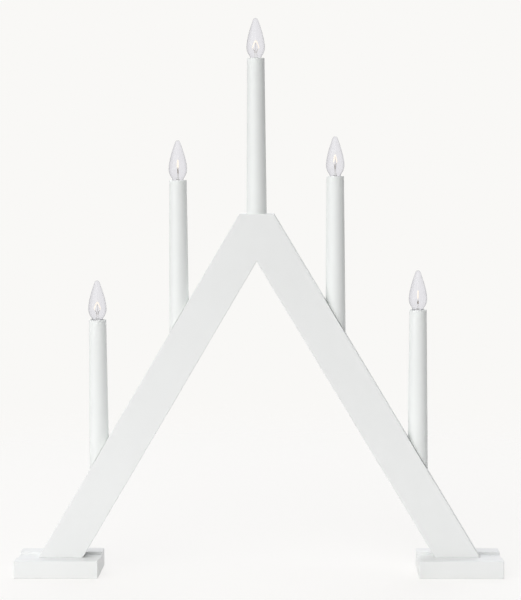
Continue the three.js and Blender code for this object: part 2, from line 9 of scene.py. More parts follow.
import bmesh
import bpy
import numpy as np
from bpy.props import FloatProperty, FloatVectorProperty, PointerProperty
from bpy.types import Operator, Panel, PropertyGroup
from mathutils import Euler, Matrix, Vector


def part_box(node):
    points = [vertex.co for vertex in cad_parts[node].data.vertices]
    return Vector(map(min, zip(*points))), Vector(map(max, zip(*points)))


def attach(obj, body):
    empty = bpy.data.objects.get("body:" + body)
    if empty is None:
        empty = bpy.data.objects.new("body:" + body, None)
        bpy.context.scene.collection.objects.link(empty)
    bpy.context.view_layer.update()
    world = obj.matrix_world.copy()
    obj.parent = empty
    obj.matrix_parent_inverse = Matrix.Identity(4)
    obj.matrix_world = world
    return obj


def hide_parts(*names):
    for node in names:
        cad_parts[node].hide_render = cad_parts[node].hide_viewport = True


bl_info = {
    "name": "Electric advent candlestick",
    "version": (1, 0, 0),
    "blender": (4, 5, 0),
    "location": "3D View > Sidebar > Candlestick",
    "description": "Builds every piece of an electric advent candlestick around its packed frame",
    "category": "Object",
}

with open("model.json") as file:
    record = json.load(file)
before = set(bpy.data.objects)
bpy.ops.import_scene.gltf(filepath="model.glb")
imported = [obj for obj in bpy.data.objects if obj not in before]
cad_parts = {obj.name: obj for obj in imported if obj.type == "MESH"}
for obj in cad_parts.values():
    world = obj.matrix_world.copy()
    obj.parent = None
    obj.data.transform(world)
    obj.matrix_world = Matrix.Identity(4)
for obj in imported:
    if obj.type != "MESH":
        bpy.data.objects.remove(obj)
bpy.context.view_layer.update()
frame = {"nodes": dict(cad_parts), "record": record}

MM = 0.001
WELD = 1e-7  # metres; points closer than this are one point
CLOSE = 1e-3  # a point nearer to a plane than this lies on it
SMOOTH_ANGLE = 35  # degrees; faces that meet more sharply keep a crisp edge
FIT = 0.3  # clearance between pieces that fit into each other
PAST = 1.0  # how far a cut runs past a face

# Boards: both lean 30.7 degrees from upright and meet in the middle plane
LEAN = radians(30.7)
BOARD_WIDTH = 35.0
BOARD_HALF_DEPTH = 11.5
FRAME_HEIGHT = 327.5
APEX_HALF_WIDTH = 15.5
LEG_END = 13.5
OUTER_PEAK = FRAME_HEIGHT + APEX_HALF_WIDTH / tan(LEAN)
CHANNEL_MIDDLE = 19.5  # square to the outer edge
CHANNEL_WIDTH = 9.0
CHANNEL_END = 36.0
CHANNEL_CEILING = 315.0
CHANNEL_FLOOR_Y = -1.5
COVER_WIDTH = 18.0
COVER_SEAT_Y = 9.5
COVER_END = 32.0
COVER_TOP = 320.4
DOWEL_Y = -5.5
DOWEL_RADIUS = 3.0
DOWEL_HALF = 15.0
DOWEL_RISES = {"lower": 7.0, "upper": 16.0}  # above the crotch

# Feet, and the screws that come up through them
FOOT_HALF_LENGTH = 38.0
FOOT_HALF_DEPTH = 27.0
FOOT_HEIGHT = 16.0
FOOT_OUTSET = 1.0
GROOVE_EASE = 0.4  # rounding of the groove's edges, as a share of the foot's other edges
SCREW_TIP = 30.0
SCREW_SHIFT = 3.7
SCREW_HALF_SPACING = 7.0
SCREW_RADIUS = 2.0
SCREW_HEAD_RADIUS = 3.8
SCREW_SUNK = 4.0
SCREW_PITCH = 1.7

# Bush for the mains cord
INLET_Z = 46.0
BUSH_NECK_RADIUS = 4.0
BUSH_FLANGE_RADIUS = 6.5
BUSH_NECK_LENGTH = 7.0
BUSH_FLANGE_THICKNESS = 1.5
CORD_HALF_WIDTH = 1.8
CORD_HALF_HEIGHT = 2.9

# Levels and radii inside a candle, levels measured from the rim of its sleeve
RIM_RADIUS = 7.9
RIM_BORE = 6.8
SLEEVE_TAPER = 0.0085
HOLDER_RADIUS = 6.5
HOLDER_BORE = 5.5
HOLDER_TOP = -2.0
LEDGE = -11.9
POCKET_RADIUS = 3.2
POCKET_FLOOR = -14.3
FLOOR_BOTTOM = -16.3
TAG_END = -18.3
STALK_BORE = 5.3
PEG_RADIUS = 3.7
PEG_BORE = 2.6
PEG_DEPTH = 20.0
SEAT_GAP = 0.6  # between the slope and the holder that stands over it
PEG_GAP = 0.5  # between the top candle's peg and the wire channel
COLLAR_LOW, COLLAR_HIGH = 4, 7  # above the shoulder of the holder
STALK_FLOOR = 1.5  # above the shoulder
INNER_EASE = 0.6  # rounding of a sleeve's inner edge, as a share of its outer one
BORE_RADIUS = 4.0
SLOT_NEAR, SLOT_FAR = 3.7, 5.1  # the slot for the solder tag, measured from the axis
SLOT_HALF_WIDTH = 1.3
TAG_NEAR, TAG_FAR, TAG_JOIN = 4.1, 4.5, 5.1
TAG_THICKNESS = 0.3
RIVET_RADIUS = 0.8
DISC_RADIUS = 2.9
SHELL_TOP = -2.6
SHELL_BOTTOM = -11.6
SHELL_RADIUS = 5.2
SHELL_THICKNESS = 0.25

# Lamps, levels measured in the same way
THREAD_PITCH = 1.814
THREAD_TOP = -1.6
THREAD_END = -10.4
SOLDER_TOP = -11.62
CAP_RADIUS = 4.5
FLANGE_RADIUS = 5.1
FLANGE_TOP = -0.8
GLASS_END = -0.78
NECK_RADIUS = 5.0
BELLY_RADIUS, BELLY = 8.3, 9.8
SHOULDER_RADIUS, SHOULDER = 2.6, 33.3
GLASS_TIP = 35.6
STEM_TOP = 6.5
# below this level the leads are painted pale: painted light for the stem glass round them washing them
# out
LEAD_ROOT = 4.6  # the stem holds the leads below this level
ARCH_HALF_SPAN = 2.9
ARCH_ENDS = 9.2
ARCH_RISE = 6.3
ARCH_POWER = 1.39  # 1 would be a pointed arch with straight sides, 2 a parabola
COIL_PITCH = 0.26

SIDES = ("left", "right")
SCREWS = ("inner", "outer")
CANDLES = ("outer_left", "inner_left", "top", "inner_right", "outer_right")
# how far stem and wires of each lamp are turned, in degrees, and how much higher they reach, in mm
MOUNTS = {
    "outer_left": (25, 0.4), "inner_left": (85, 2.4), "top": (0, 0.0), "inner_right": (60, 3.4),
    "outer_right": (85, 1.4),
}
body_of_node = {
    node: body for body, nodes in frame["record"]["behaviour"]["bodies"].items() for node in nodes
}


# ---------------------------------------------------------------- places


def side_sign(name):
    """-1 on the left, 1 on the right, 0 in the middle."""
    return -1 if "left" in name else 1 if "right" in name else 0


def lamp_axis(candle):
    """Place of a candle's axis in X and the height of its sleeve's rim, both from the frame."""
    low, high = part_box(f"{candle}_bulb_glass")
    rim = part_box(f"{candle}_candle_tube")[1].z / MM
    return (low.x + high.x) / 2 / MM, rim


def edge_x(z, inset):
    """Distance from the middle plane of a line along the board, at a height. The line lies at an
    inset from the outer edge, square to it: (peak - z) tan(lean) - inset / cos(lean)."""
    return (OUTER_PEAK - z) * tan(LEAN) - inset / cos(LEAN)


def edge_z(x, inset):
    """Height at which the same line stands at a distance from the middle plane."""
    return OUTER_PEAK - (x + inset / cos(LEAN)) / tan(LEAN)


def seat_height(candle):
    """Height of the wood on a candle's axis: the sloping edge, or the flat on the apex."""
    x, _ = lamp_axis(candle)
    return edge_z(abs(x), 0) if side_sign(candle) else FRAME_HEIGHT


def foot_middle(side):
    """Place of a foot's middle in X."""
    return side_sign(side) * (edge_x(LEG_END, BOARD_WIDTH / 2) + FOOT_OUTSET)


def screw_place(side, which):
    """Place of a foot screw in X."""
    middle = edge_x(LEG_END, BOARD_WIDTH / 2) - SCREW_SHIFT
    step = SCREW_HALF_SPACING if which == "outer" else -SCREW_HALF_SPACING
    return side_sign(side) * (middle + step)


def each_candle():
    """Every candle's name, with the place of its axis and the height of its rim."""
    for candle in CANDLES:
        yield candle, *lamp_axis(candle)


def inward(candle):
    """Which way along X the solder tag of a candle lies from its axis."""
    return -1 if side_sign(candle) > 0 else 1


def board_band(side, near, far, low, high, gap=0.0):
    """Outline in X and Z of a band along one board between two insets, level at its lower end,
    below a ceiling and up to a gap from the middle plane."""
    near_top = min(high, edge_z(gap, near))
    outline = [(edge_x(low, far), low), (edge_x(low, near), low), (edge_x(near_top, near), near_top)]
    if near_top == high:
        outline.append((gap, high))
    outline.append((gap, edge_z(gap, far)))
    return np.array(outline) * (side_sign(side), 1)


def channel_band(side, half_width, low, high, gap):
    """Outline of a band along the middle of the wire channel."""
    near, far = CHANNEL_MIDDLE - half_width, CHANNEL_MIDDLE + half_width
    return board_band(side, near, far, low, high, gap)


# ---------------------------------------------------------------- meshes


def new_piece(name, points, faces, smooth_angle=SMOOTH_ANGLE):
    """A mesh object from points in millimetres. Points that meet become one, so that seams and poles
    close, and the faces are turned outwards by the sign of the volume they enclose."""
    mesh = bpy.data.meshes.new(name)
    mesh.from_pydata(np.asarray(points, float) * MM, [], faces)
    work = bmesh.new()
    work.from_mesh(mesh)
    bmesh.ops.remove_doubles(work, verts=work.verts, dist=WELD)
    bmesh.ops.recalc_face_normals(work, faces=work.faces)
    if work.calc_volume(signed=True) < 0:
        bmesh.ops.reverse_faces(work, faces=work.faces)
    work.to_mesh(mesh)
    work.free()
    mesh.shade_smooth()
    mesh.set_sharp_from_angle(angle=radians(smooth_angle))
    piece = bpy.data.objects.new(name, mesh)
    bpy.context.scene.collection.objects.link(piece)
    return piece


def grid_faces(rows, cols, closed_rows=False):
    """Quads of a grid of points numbered row by row, whose columns go all the way round."""
    row = np.arange(rows if closed_rows else rows - 1)[:, None]
    col = np.arange(cols)[None, :]
    below, beside = (row + 1) % rows, (col + 1) % cols
    quads = [row * cols + col, row * cols + beside, below * cols + beside, below * cols + col]
    return np.stack(quads, -1).reshape(-1, 4)


def skin(name, grid, closed_rows=False, smooth_angle=SMOOTH_ANGLE):
    """A piece from a grid of points, rows along its profile and columns round it."""
    rows, cols = grid.shape[:2]
    faces = grid_faces(rows, cols, closed_rows).tolist()
    return new_piece(name, grid.reshape(-1, 3), faces, smooth_angle)


def straight(radius, low, high, steps):
    """Part of a profile that runs straight up at one radius, in even steps."""
    return np.column_stack([np.full(steps, radius), np.linspace(low, high, steps)])


def turned(profile, sides, ripple=None):
    """Grid of a profile of (radius, height) turned about the upright axis:
    x = r cos t, y = r sin t, z = h, with a ripple of (h, t) added to r."""
    radius, height = np.asarray(profile, float).T[:, :, None]
    turn = np.linspace(0, 2 * pi, sides, endpoint=False)[None, :]
    radius = radius + (ripple(height, turn) if ripple else 0 * turn)
    return np.stack([radius * np.cos(turn), radius * np.sin(turn), height + 0 * turn], -1)


def eased(profile, reach, steps=4, closed=False):
    """Corners of a profile rounded. Each becomes a curve (1-t)^2 a + 2t(1-t) p + t^2 b between
    points a and b on the two sides of the corner p, at the reach or nearer where a side is short."""
    corner = np.asarray(profile, float)

    def along(other):
        side = other - corner
        length = np.maximum(np.linalg.norm(side, axis=1, keepdims=True), 1e-9)
        return corner + side * np.minimum(reach / length, 0.45)

    start, end = along(np.roll(corner, 1, 0)), along(np.roll(corner, -1, 0))
    t = np.linspace(0, 1, steps)[None, :, None]
    start, middle, end = start[:, None], corner[:, None], end[:, None]
    curve = (1 - t) ** 2 * start + 2 * t * (1 - t) * middle + t**2 * end
    if closed:
        return curve.reshape(-1, 2)
    return np.vstack([corner[:1], curve[1:-1].reshape(-1, 2), corner[-1:]])


def bezier(points, steps):
    """Points of a Bezier curve: the sum over its control points p_i of C(n, i) t^i (1-t)^(n-i) p_i."""
    control = np.asarray(points, float)
    degree = len(control) - 1
    share = np.linspace(0, 1, steps)[:, None]
    weights = np.array([comb(degree, power) for power in range(degree + 1)])
    powers = np.arange(degree + 1)[None, :]
    return (weights * share**powers * (1 - share) ** (degree - powers)) @ control


def swept(path, radial, radius, sides):
    """Grid of a round section carried along a path: c + r (u cos a + v sin a), where u is the part of
    the radial direction square to the path and v completes the frame. Both ends close in a point."""
    path = np.asarray(path, float)
    tangent = np.gradient(path, axis=0)
    tangent /= np.linalg.norm(tangent, axis=1, keepdims=True)
    u = radial - (radial * tangent).sum(1, keepdims=True) * tangent
    u /= np.linalg.norm(u, axis=1, keepdims=True)
    v = np.cross(tangent, u)
    a = np.linspace(0, 2 * pi, sides, endpoint=False)[None, :, None]
    r = np.full((len(path), 1, 1), radius)
    tube = path[:, None] + r * (u[:, None] * np.cos(a) + v[:, None] * np.sin(a))
    ends = np.repeat(path[[0, -1], None], sides, 1)
    return np.concatenate([ends[:1], tube, ends[1:]])


def prism(name, outline, low, high, axis=1):
    """A flat outline carried straight along one axis, from a low to a high level."""
    outline = np.asarray(outline, float)
    count = len(outline)
    ends = [np.insert(outline, axis, level, axis=1) for level in (low, high)]
    faces = grid_faces(2, count).tolist()
    faces += [list(range(count)), list(range(count, 2 * count))]
    return new_piece(name, np.vstack(ends), faces)


def moved(grid, x=0.0, y=0.0, z=0.0):
    """A grid shifted as a whole."""
    return grid + (x, y, z)


def across_joint(grid, rise):
    """A grid about the upright axis laid along X in the place of a dowel: (x, y, z) becomes
    (z, y, -x), and the rise is counted from the crotch."""
    return moved(grid[..., [2, 1, 0]] * (1, 1, -1), y=DOWEL_Y, z=edge_z(0, BOARD_WIDTH) + rise)


def upright_bore(radius, x, low, high):
    """A plain upright cylinder that cuts a bore."""
    profile = [(0, low), (radius, low), (radius, high), (0, high)]
    return skin("bore", moved(turned(profile, 48), x))


def bake(piece):
    """The piece's modifiers made part of its mesh."""
    bpy.context.view_layer.update()
    graph = bpy.context.evaluated_depsgraph_get()
    baked = bpy.data.meshes.new_from_object(
        piece.evaluated_get(graph), preserve_all_data_layers=True, depsgraph=graph
    )
    old = piece.data
    piece.modifiers.clear()
    piece.data = baked
    bpy.data.meshes.remove(old)


def on_plane(a, b, axis, level):
    """Whether both end points of each edge lie on a plane square to an axis."""
    return (abs(a[:, axis] - level) < CLOSE) & (abs(b[:, axis] - level) < CLOSE)


def ease_edges(piece, width, weight, segments=3):
    """Edges bevelled by a weight that a rule gives from their two end points, in millimetres."""
    mesh = piece.data
    ends = np.empty(len(mesh.edges) * 2, np.int32)
    mesh.edges.foreach_get("vertices", ends)
    points = np.empty(len(mesh.vertices) * 3)
    mesh.vertices.foreach_get("co", points)
    ends = points.reshape(-1, 3)[ends.reshape(-1, 2)] / MM
    layer = mesh.attributes.new("bevel_weight_edge", "FLOAT", "EDGE")
    layer.data.foreach_set("value", weight(ends[:, 0], ends[:, 1]).astype(np.float32))
    bevel = piece.modifiers.new("eased edges", "BEVEL")
    bevel.limit_method = "WEIGHT"
    bevel.width = width
    bevel.segments = segments
    bake(piece)


def carve(piece, cutters, operation="DIFFERENCE"):
    """The piece less its cutters, or joined with them, in exact arithmetic."""
    for cutter in cutters:
        step = piece.modifiers.new("cut", "BOOLEAN")
        step.operation = operation
        step.solver = "EXACT"
        step.object = cutter
    bake(piece)
    for cutter in cutters:
        bpy.data.meshes.remove(cutter.data)


def even_shading(piece, smooth_angle=SMOOTH_ANGLE):
    """Smooth bevels beside flat faces: normals weighted by face area."""
    piece.data.shade_smooth()
    piece.data.set_sharp_from_angle(angle=radians(smooth_angle))
    weighted = piece.modifiers.new("even shading", "WEIGHTED_NORMAL")
    weighted.keep_sharp = True
    bake(piece)


def tint_faces(piece, zone):
    """Material numbers of the faces, given by a rule on their middles in millimetres."""
    middles = np.empty(len(piece.data.polygons) * 3)
    piece.data.polygons.foreach_get("center", middles)
    numbers = zone(middles.reshape(-1, 3) / MM).astype(np.int32)
    piece.data.polygons.foreach_set("material_index", numbers)


def settle(piece, node, slot, *materials):
    """The piece takes a frame node's place, rides on its body and gets its finish."""
    for material in materials:
        piece.data.materials.append(material)
    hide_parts(node)
    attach(piece, body_of_node[node])


# ---------------------------------------------------------------- materials

GRAIN_UNDER_PAINT = 1.2e-5  # depth of the grain that shows through the paint, in metres


def feed(tree, node, inputs):
    """Inputs of a node given values, or joined to the sockets of other nodes."""
    for key, value in inputs.items():
        if isinstance(value, bpy.types.NodeSocket):
            tree.links.new(value, node.inputs[key])
        else:
            node.inputs[key].default_value = value


def place_node(tree, kind, inputs=None, **settings):
    """A node with its settings and inputs."""
    node = tree.nodes.new(kind)
    for key, value in settings.items():
        setattr(node, key, value)
    feed(tree, node, inputs or {})
    return node


def effect(name, inputs, outputs, build):
    """A shader effect as a node group, built once. It takes a vector and numbers with defaults."""
    group = bpy.data.node_groups.get(name)
    if group:
        return group
    group = bpy.data.node_groups.new(name, "ShaderNodeTree")
    group.interface.new_socket("Vector", in_out="INPUT", socket_type="NodeSocketVector")
    for label, value in inputs.items():
        socket = group.interface.new_socket(label, in_out="INPUT", socket_type="NodeSocketFloat")
        socket.default_value = value
    for label in outputs:
        group.interface.new_socket(label, in_out="OUTPUT", socket_type="NodeSocketFloat")
    entry = group.nodes.new("NodeGroupInput")
    leave = group.nodes.new("NodeGroupOutput")
    for label, socket in build(group, entry.outputs).items():
        group.links.new(socket, leave.inputs[label])
    return group


def calc(tree, operation, *values):
    """The result of a sum on numbers or sockets."""
    return place_node(tree, "ShaderNodeMath", dict(enumerate(values)), operation=operation).outputs[0]


def noise(tree, vector, scale, detail=3.0, roughness=0.5):
    """Cloudy noise between 0 and 1, its scale in features to a metre."""
    inputs = {"Vector": vector, "Scale": scale, "Detail": detail, "Roughness": roughness}
    return place_node(tree, "ShaderNodeTexNoise", inputs).outputs["Fac"]


def coat_effect():
    """Sprayed or moulded skin: soft ripples with finer pimples on them, and slow mottling.
    Height is in metres."""
    finer, coarser, pimple_share = 5.3, 0.04, 0.3

    def build(tree, given):
        ripple = noise(tree, given["Vector"], given["Ripple scale"], 2.0)
        pimple = noise(tree, given["Vector"], calc(tree, "MULTIPLY", given["Ripple scale"], finer), 2.0)
        both = calc(tree, "MULTIPLY_ADD", pimple, pimple_share, ripple)
        slow = noise(tree, given["Vector"], calc(tree, "MULTIPLY", given["Ripple scale"], coarser), 4.0)
        return {"Height": calc(tree, "MULTIPLY", both, given["Depth"]), "Mottle": slow}

    return effect("Coat texture", {"Ripple scale": 600.0, "Depth": 1e-5}, ("Height", "Mottle"), build)


def grain_effect():
    """Wood grain along the group's Z axis: noise drawn out along the fibres, in two sizes."""
    drawn_out, finer, fibre_share = 0.04, 4.0, 0.4

    def build(tree, given):
        stretch = {"Vector": given["Vector"], "Scale": (1.0, 1.0, drawn_out)}
        drawn = place_node(tree, "ShaderNodeMapping", stretch, vector_type="POINT").outputs[0]
        bands = noise(tree, drawn, given["Fibre scale"], 4.0, 0.6)
        fibres = noise(tree, drawn, calc(tree, "MULTIPLY", given["Fibre scale"], finer), 3.0)
        both = calc(tree, "MULTIPLY_ADD", fibres, fibre_share, bands)
        return {"Height": calc(tree, "MULTIPLY", both, given["Depth"]), "Bands": bands}

    return effect("Wood grain", {"Fibre scale": 400.0, "Depth": 1e-5}, ("Height", "Bands"), build)


def metal_effect():
    """Drawn and handled metal: fine rings round the upright axis and soft tarnish patches."""
    drawn_out, coarser = 0.08, 0.05

    def build(tree, given):
        squash = {"Vector": given["Vector"], "Scale": (drawn_out, drawn_out, 1.0)}
        rings = place_node(tree, "ShaderNodeMapping", squash, vector_type="POINT").outputs[0]
        lines = noise(tree, rings, given["Line scale"], 3.0)
        coarse = calc(tree, "MULTIPLY", given["Line scale"], coarser)
        patches = noise(tree, given["Vector"], coarse, 4.0)
        return {"Height": calc(tree, "MULTIPLY", lines, given["Depth"]), "Tarnish": patches}

    return effect("Drawn metal", {"Line scale": 9000.0, "Depth": 1e-6}, ("Height", "Tarnish"), build)


def dust_effect():
    """Dust on what faces up: the normal's Z to a power, broken up by noise."""
    gathering, speck_scale = 3.0, 900.0

    def build(tree, given):
        normal = place_node(tree, "ShaderNodeNewGeometry").outputs["Normal"]
        up = place_node(tree, "ShaderNodeSeparateXYZ", {"Vector": normal}).outputs["Z"]
        facing = calc(tree, "POWER", calc(tree, "MAXIMUM", up, 0.0), gathering)
        specks = noise(tree, given["Vector"], speck_scale, 5.0, 0.7)
        broken = calc(tree, "MULTIPLY", facing, specks)
        return {"Mask": calc(tree, "MULTIPLY", broken, given["Amount"])}

    return effect("Settled dust", {"Amount": 0.1}, ("Mask",), build)


def start_material(name):
    """A material with its tree, its Principled shader and the object's own coordinates."""
    material = bpy.data.materials.new(name)
    material.use_nodes = True
    tree = material.node_tree
    shader = tree.nodes["Principled BSDF"]
    own = place_node(tree, "ShaderNodeTexCoord").outputs["Object"]
    return material, tree, shader, own


def use_effect(tree, group, **inputs):
    """The outputs of an effect placed in a material; underscores in the input names are spaces."""
    labelled = {key.replace("_", " "): value for key, value in inputs.items()}
    return place_node(tree, "ShaderNodeGroup", labelled, node_tree=group).outputs


def blended(tree, mask, first, second):
    """Colour between two, by a mask. A mix node has its colours at inputs 6 and 7 and at output 2."""
    inputs = {0: mask, 6: first, 7: second}
    return place_node(tree, "ShaderNodeMix", inputs, data_type="RGBA").outputs[2]


def spread(tree, value, low, high):
    """A noise value of 0.3 to 0.7 brought to a range."""
    inputs = {"Value": value, "From Min": 0.3, "From Max": 0.7, "To Min": low, "To Max": high}
    return place_node(tree, "ShaderNodeMapRange", inputs).outputs[0]


def raise_surface(tree, shader, *heights):
    """The shader's normal from the sum of heights in metres."""
    total = heights[0]
    for height in heights[1:]:
        total = calc(tree, "ADD", total, height)
    bump = place_node(tree, "ShaderNodeBump", {"Height": total, "Strength": 1.0, "Distance": 1.0})
    tree.links.new(bump.outputs[0], shader.inputs["Normal"])


def rgba(colour, factor=1.0):
    """A colour times a factor, with full alpha."""
    return (*(channel * factor for channel in colour), 1.0)


def coated(name, colour, roughness, ripple_scale, depth, dust, specular=0.5, grain_turn=None):
    """Paint or moulded plastic: coat texture, mottled sheen, dust on top and, where there is wood
    under the paint, its grain showing through. The grain's turn brings its Z axis to the fibres."""
    darker, swing = 0.985, 0.04
    material, tree, shader, own = start_material(name)
    coat = use_effect(tree, coat_effect(), Vector=own, Ripple_scale=ripple_scale, Depth=depth)
    mask = use_effect(tree, dust_effect(), Vector=own, Amount=dust)["Mask"]
    tone = spread(tree, coat["Mottle"], 0.0, 1.0)
    clean = blended(tree, tone, rgba(colour, darker), rgba(colour))
    sheen = spread(tree, coat["Mottle"], roughness - swing, roughness + swing)
    feed(tree, shader, {
        "Base Color": blended(tree, mask, clean, rgba(bpy.context.scene.candlestick.finishes.dust)),
        "Roughness": calc(tree, "ADD", sheen, mask),
        "Specular IOR Level": specular,
    })
    heights = [coat["Height"]]
    if grain_turn is not None:
        turn = {"Vector": own, "Rotation": grain_turn}
        fibres = place_node(tree, "ShaderNodeMapping", turn).outputs[0]
        grain = use_effect(tree, grain_effect(), Vector=fibres, Depth=GRAIN_UNDER_PAINT)
        heights.append(grain["Height"])
    raise_surface(tree, shader, *heights)
    return material


def metal(name, colour, roughness, tarnish):
    """Bright metal with drawn lines and tarnished patches, which are darker and less smooth."""
    darker, smoother, rougher = 0.55, 0.05, 0.1
    material, tree, shader, own = start_material(name)
    lines = use_effect(tree, metal_effect(), Vector=own)
    tone = spread(tree, lines["Tarnish"], 0.0, tarnish)
    feed(tree, shader, {
        "Base Color": blended(tree, tone, rgba(colour), rgba(colour, darker)),
        "Roughness": spread(tree, lines["Tarnish"], roughness - smoother, roughness + rougher),
        "Metallic": 1.0,
    })
    raise_surface(tree, shader, lines["Height"])
    return material


def glass(name, middle, rim, falloff, bending):
    """Drawn or pressed glass: pale where it is looked through, darker where it turns away, a painted
    shade that stands in for the dark rims that refraction gives. The falloff is the power of that
    change, and the bending is the index of refraction."""
    roughest = 0.02
    material, tree, shader, own = start_material(name)
    # painted shade: the base colour turns to the rim colour as the glass turns away from the view
    facing = place_node(tree, "ShaderNodeLayerWeight", {"Blend": 0.5}).outputs["Facing"]
    edge = calc(tree, "POWER", facing, falloff)
    ripple = use_effect(tree, coat_effect(), Vector=own, Ripple_scale=90.0, Depth=2e-6)
    feed(tree, shader, {
        "Base Color": blended(tree, edge, rgba(middle), rgba(rim)),
        "Transmission Weight": 1.0,
        "IOR": bending,
        "Roughness": spread(tree, ripple["Mottle"], 0.0, roughest),
    })
    raise_surface(tree, shader, ripple["Height"])
    return material


def glowing(name, colour, strength, wire):
    """Hot coiled wire, whose heat varies a little along it, over the colour of the bare wire."""
    cooler, heat_scale = 0.85, 700.0
    material, tree, shader, own = start_material(name)
    heat = spread(tree, noise(tree, own, heat_scale), 0.0, 1.0)
    feed(tree, shader, {
        "Base Color": rgba(wire),
        "Emission Color": blended(tree, heat, rgba(colour, cooler), rgba(colour)),
        "Emission Strength": strength,
    })
    return material


def beech_wood(name, colour):
    """Bare wood with its fibres along X."""
    darker, roughness = 0.7, (0.6, 0.8)
    material, tree, shader, own = start_material(name)
    along = place_node(tree, "ShaderNodeMapping", {"Vector": own, "Rotation": (0.0, pi / 2, 0.0)})
    grain = use_effect(tree, grain_effect(), Vector=along.outputs[0], Fibre_scale=900.0, Depth=3e-5)
    tone = spread(tree, grain["Bands"], 0.0, 1.0)
    feed(tree, shader, {
        "Base Color": blended(tree, tone, rgba(colour, darker), rgba(colour)),
        "Roughness": spread(tree, grain["Bands"], *roughness),
    })
    raise_surface(tree, shader, grain["Height"])
    return material


def finish(name):
    """A finish of the candlestick, made on first use from the settings in the panel. No finish has
    the name of one of the frame's own materials."""
    made = bpy.data.materials.get(name)
    if made:
        return made
    look = bpy.context.scene.candlestick.finishes
    paint = (look.paint, look.paint_roughness, 650.0, 7e-6, 0.05, 0.5)
    finishes = {
        # colour, roughness, ripples to a metre, their depth in metres, dust, specular level, grain
        coated: {
            "painted_left": (*paint, (0.0, -LEAN, 0.0)),
            "painted_right": (*paint, (0.0, LEAN, 0.0)),
            "painted_foot": (*paint, (0.0, pi / 2, 0.0)),
            "sleeve_plastic": (look.sleeve, look.sleeve_roughness, 420.0, 4e-6, 0.04, 0.25),
            "moulded_plastic": (look.holder, 0.5, 900.0, 8e-6, 0.03),
            "insulator": (look.insulator, 0.22, 300.0, 1e-5, 0.0),
            "cover_paint": (look.strip, 0.6, 900.0, 1.4e-5, 0.03),
            "wire_sleeve": (look.wire, 0.5, 500.0, 5e-6, 0.0),
        },
        # colour, roughness, share of tarnish
        metal: {
            "brass": (look.brass, 0.24, 0.35),
            "nickel": (look.nickel, 0.22, 0.3),
            "zinc": (look.zinc, 0.34, 0.5),
            "solder": (look.solder, 0.42, 0.6),
            "lead_wire": (look.lead, 0.35, 0.4),
            # painted light: the roots of the leads are pale where the stem glass round them washes them
            # out
            "lead_root": (look.lead_root, 0.35, 0.4),
        },
        # colour looked through, painted shade seen edge on, falloff, index of refraction
        glass: {
            "lamp_glass": (look.glass, look.glass_edge_shade, 3.2, 1.3),
            "pressed_glass": (look.stem, look.stem_edge_shade, 3.0, 1.1),
        },
        glowing: {"hot_wire": (look.glow, look.glow_strength, look.bare_wire)},
        beech_wood: {"bare_beech": (look.beech,)},
    }
    return next(make(name, *rows[name]) for make, rows in finishes.items() if name in rows)


# ---------------------------------------------------------------- settings


def length(name, description, millimetres):
    """A setting that is a length, given in millimetres and kept in metres."""
    return FloatProperty(
        name=name, description=description, default=millimetres * MM, min=0.0, precision=5,
        unit="LENGTH", subtype="DISTANCE",
    )


def colour(name, description, value):
    """A setting that is a colour."""
    return FloatVectorProperty(
        name=name, description=description, default=value, min=0.0, max=1.0, size=3, subtype="COLOR",
    )


def amount(name, description, value, high=1.0):
    """A setting that is a plain number from zero up."""
    return FloatProperty(name=name, description=description, default=value, min=0.0, max=high)


class FrameSettings(PropertyGroup):
    board_edge: length("Board edge", "Rounding of the boards' edges", 0.6)
    foot_edge: length("Foot edge", "Rounding of the feet's edges", 0.7)
    strip_edge: length("Strip edge", "Rounding of the cover strips' edges", 0.3)


class CandleSettings(PropertyGroup):
    rim_edge: length("Rim edge", "Rounding of the outer edge of a sleeve's rim", 0.35)
    holder_edge: length("Holder edge", "Rounding of the moulded lamp holders' edges", 0.25)
    thread_depth: length("Thread depth", "Half the depth of the lamp thread", 0.2)


class LampSettings(PropertyGroup):
    glass_wall: length("Glass wall", "Thickness of the lamp's glass", 0.3)
    coil_radius: length("Coil radius", "Radius of the coiled filament", 0.5)
    coil_wire: length("Coil wire", "Radius of the filament's wire", 0.1)
    lead_wire: length("Lead wire", "Radius of the wires that hold the filament", 0.18)


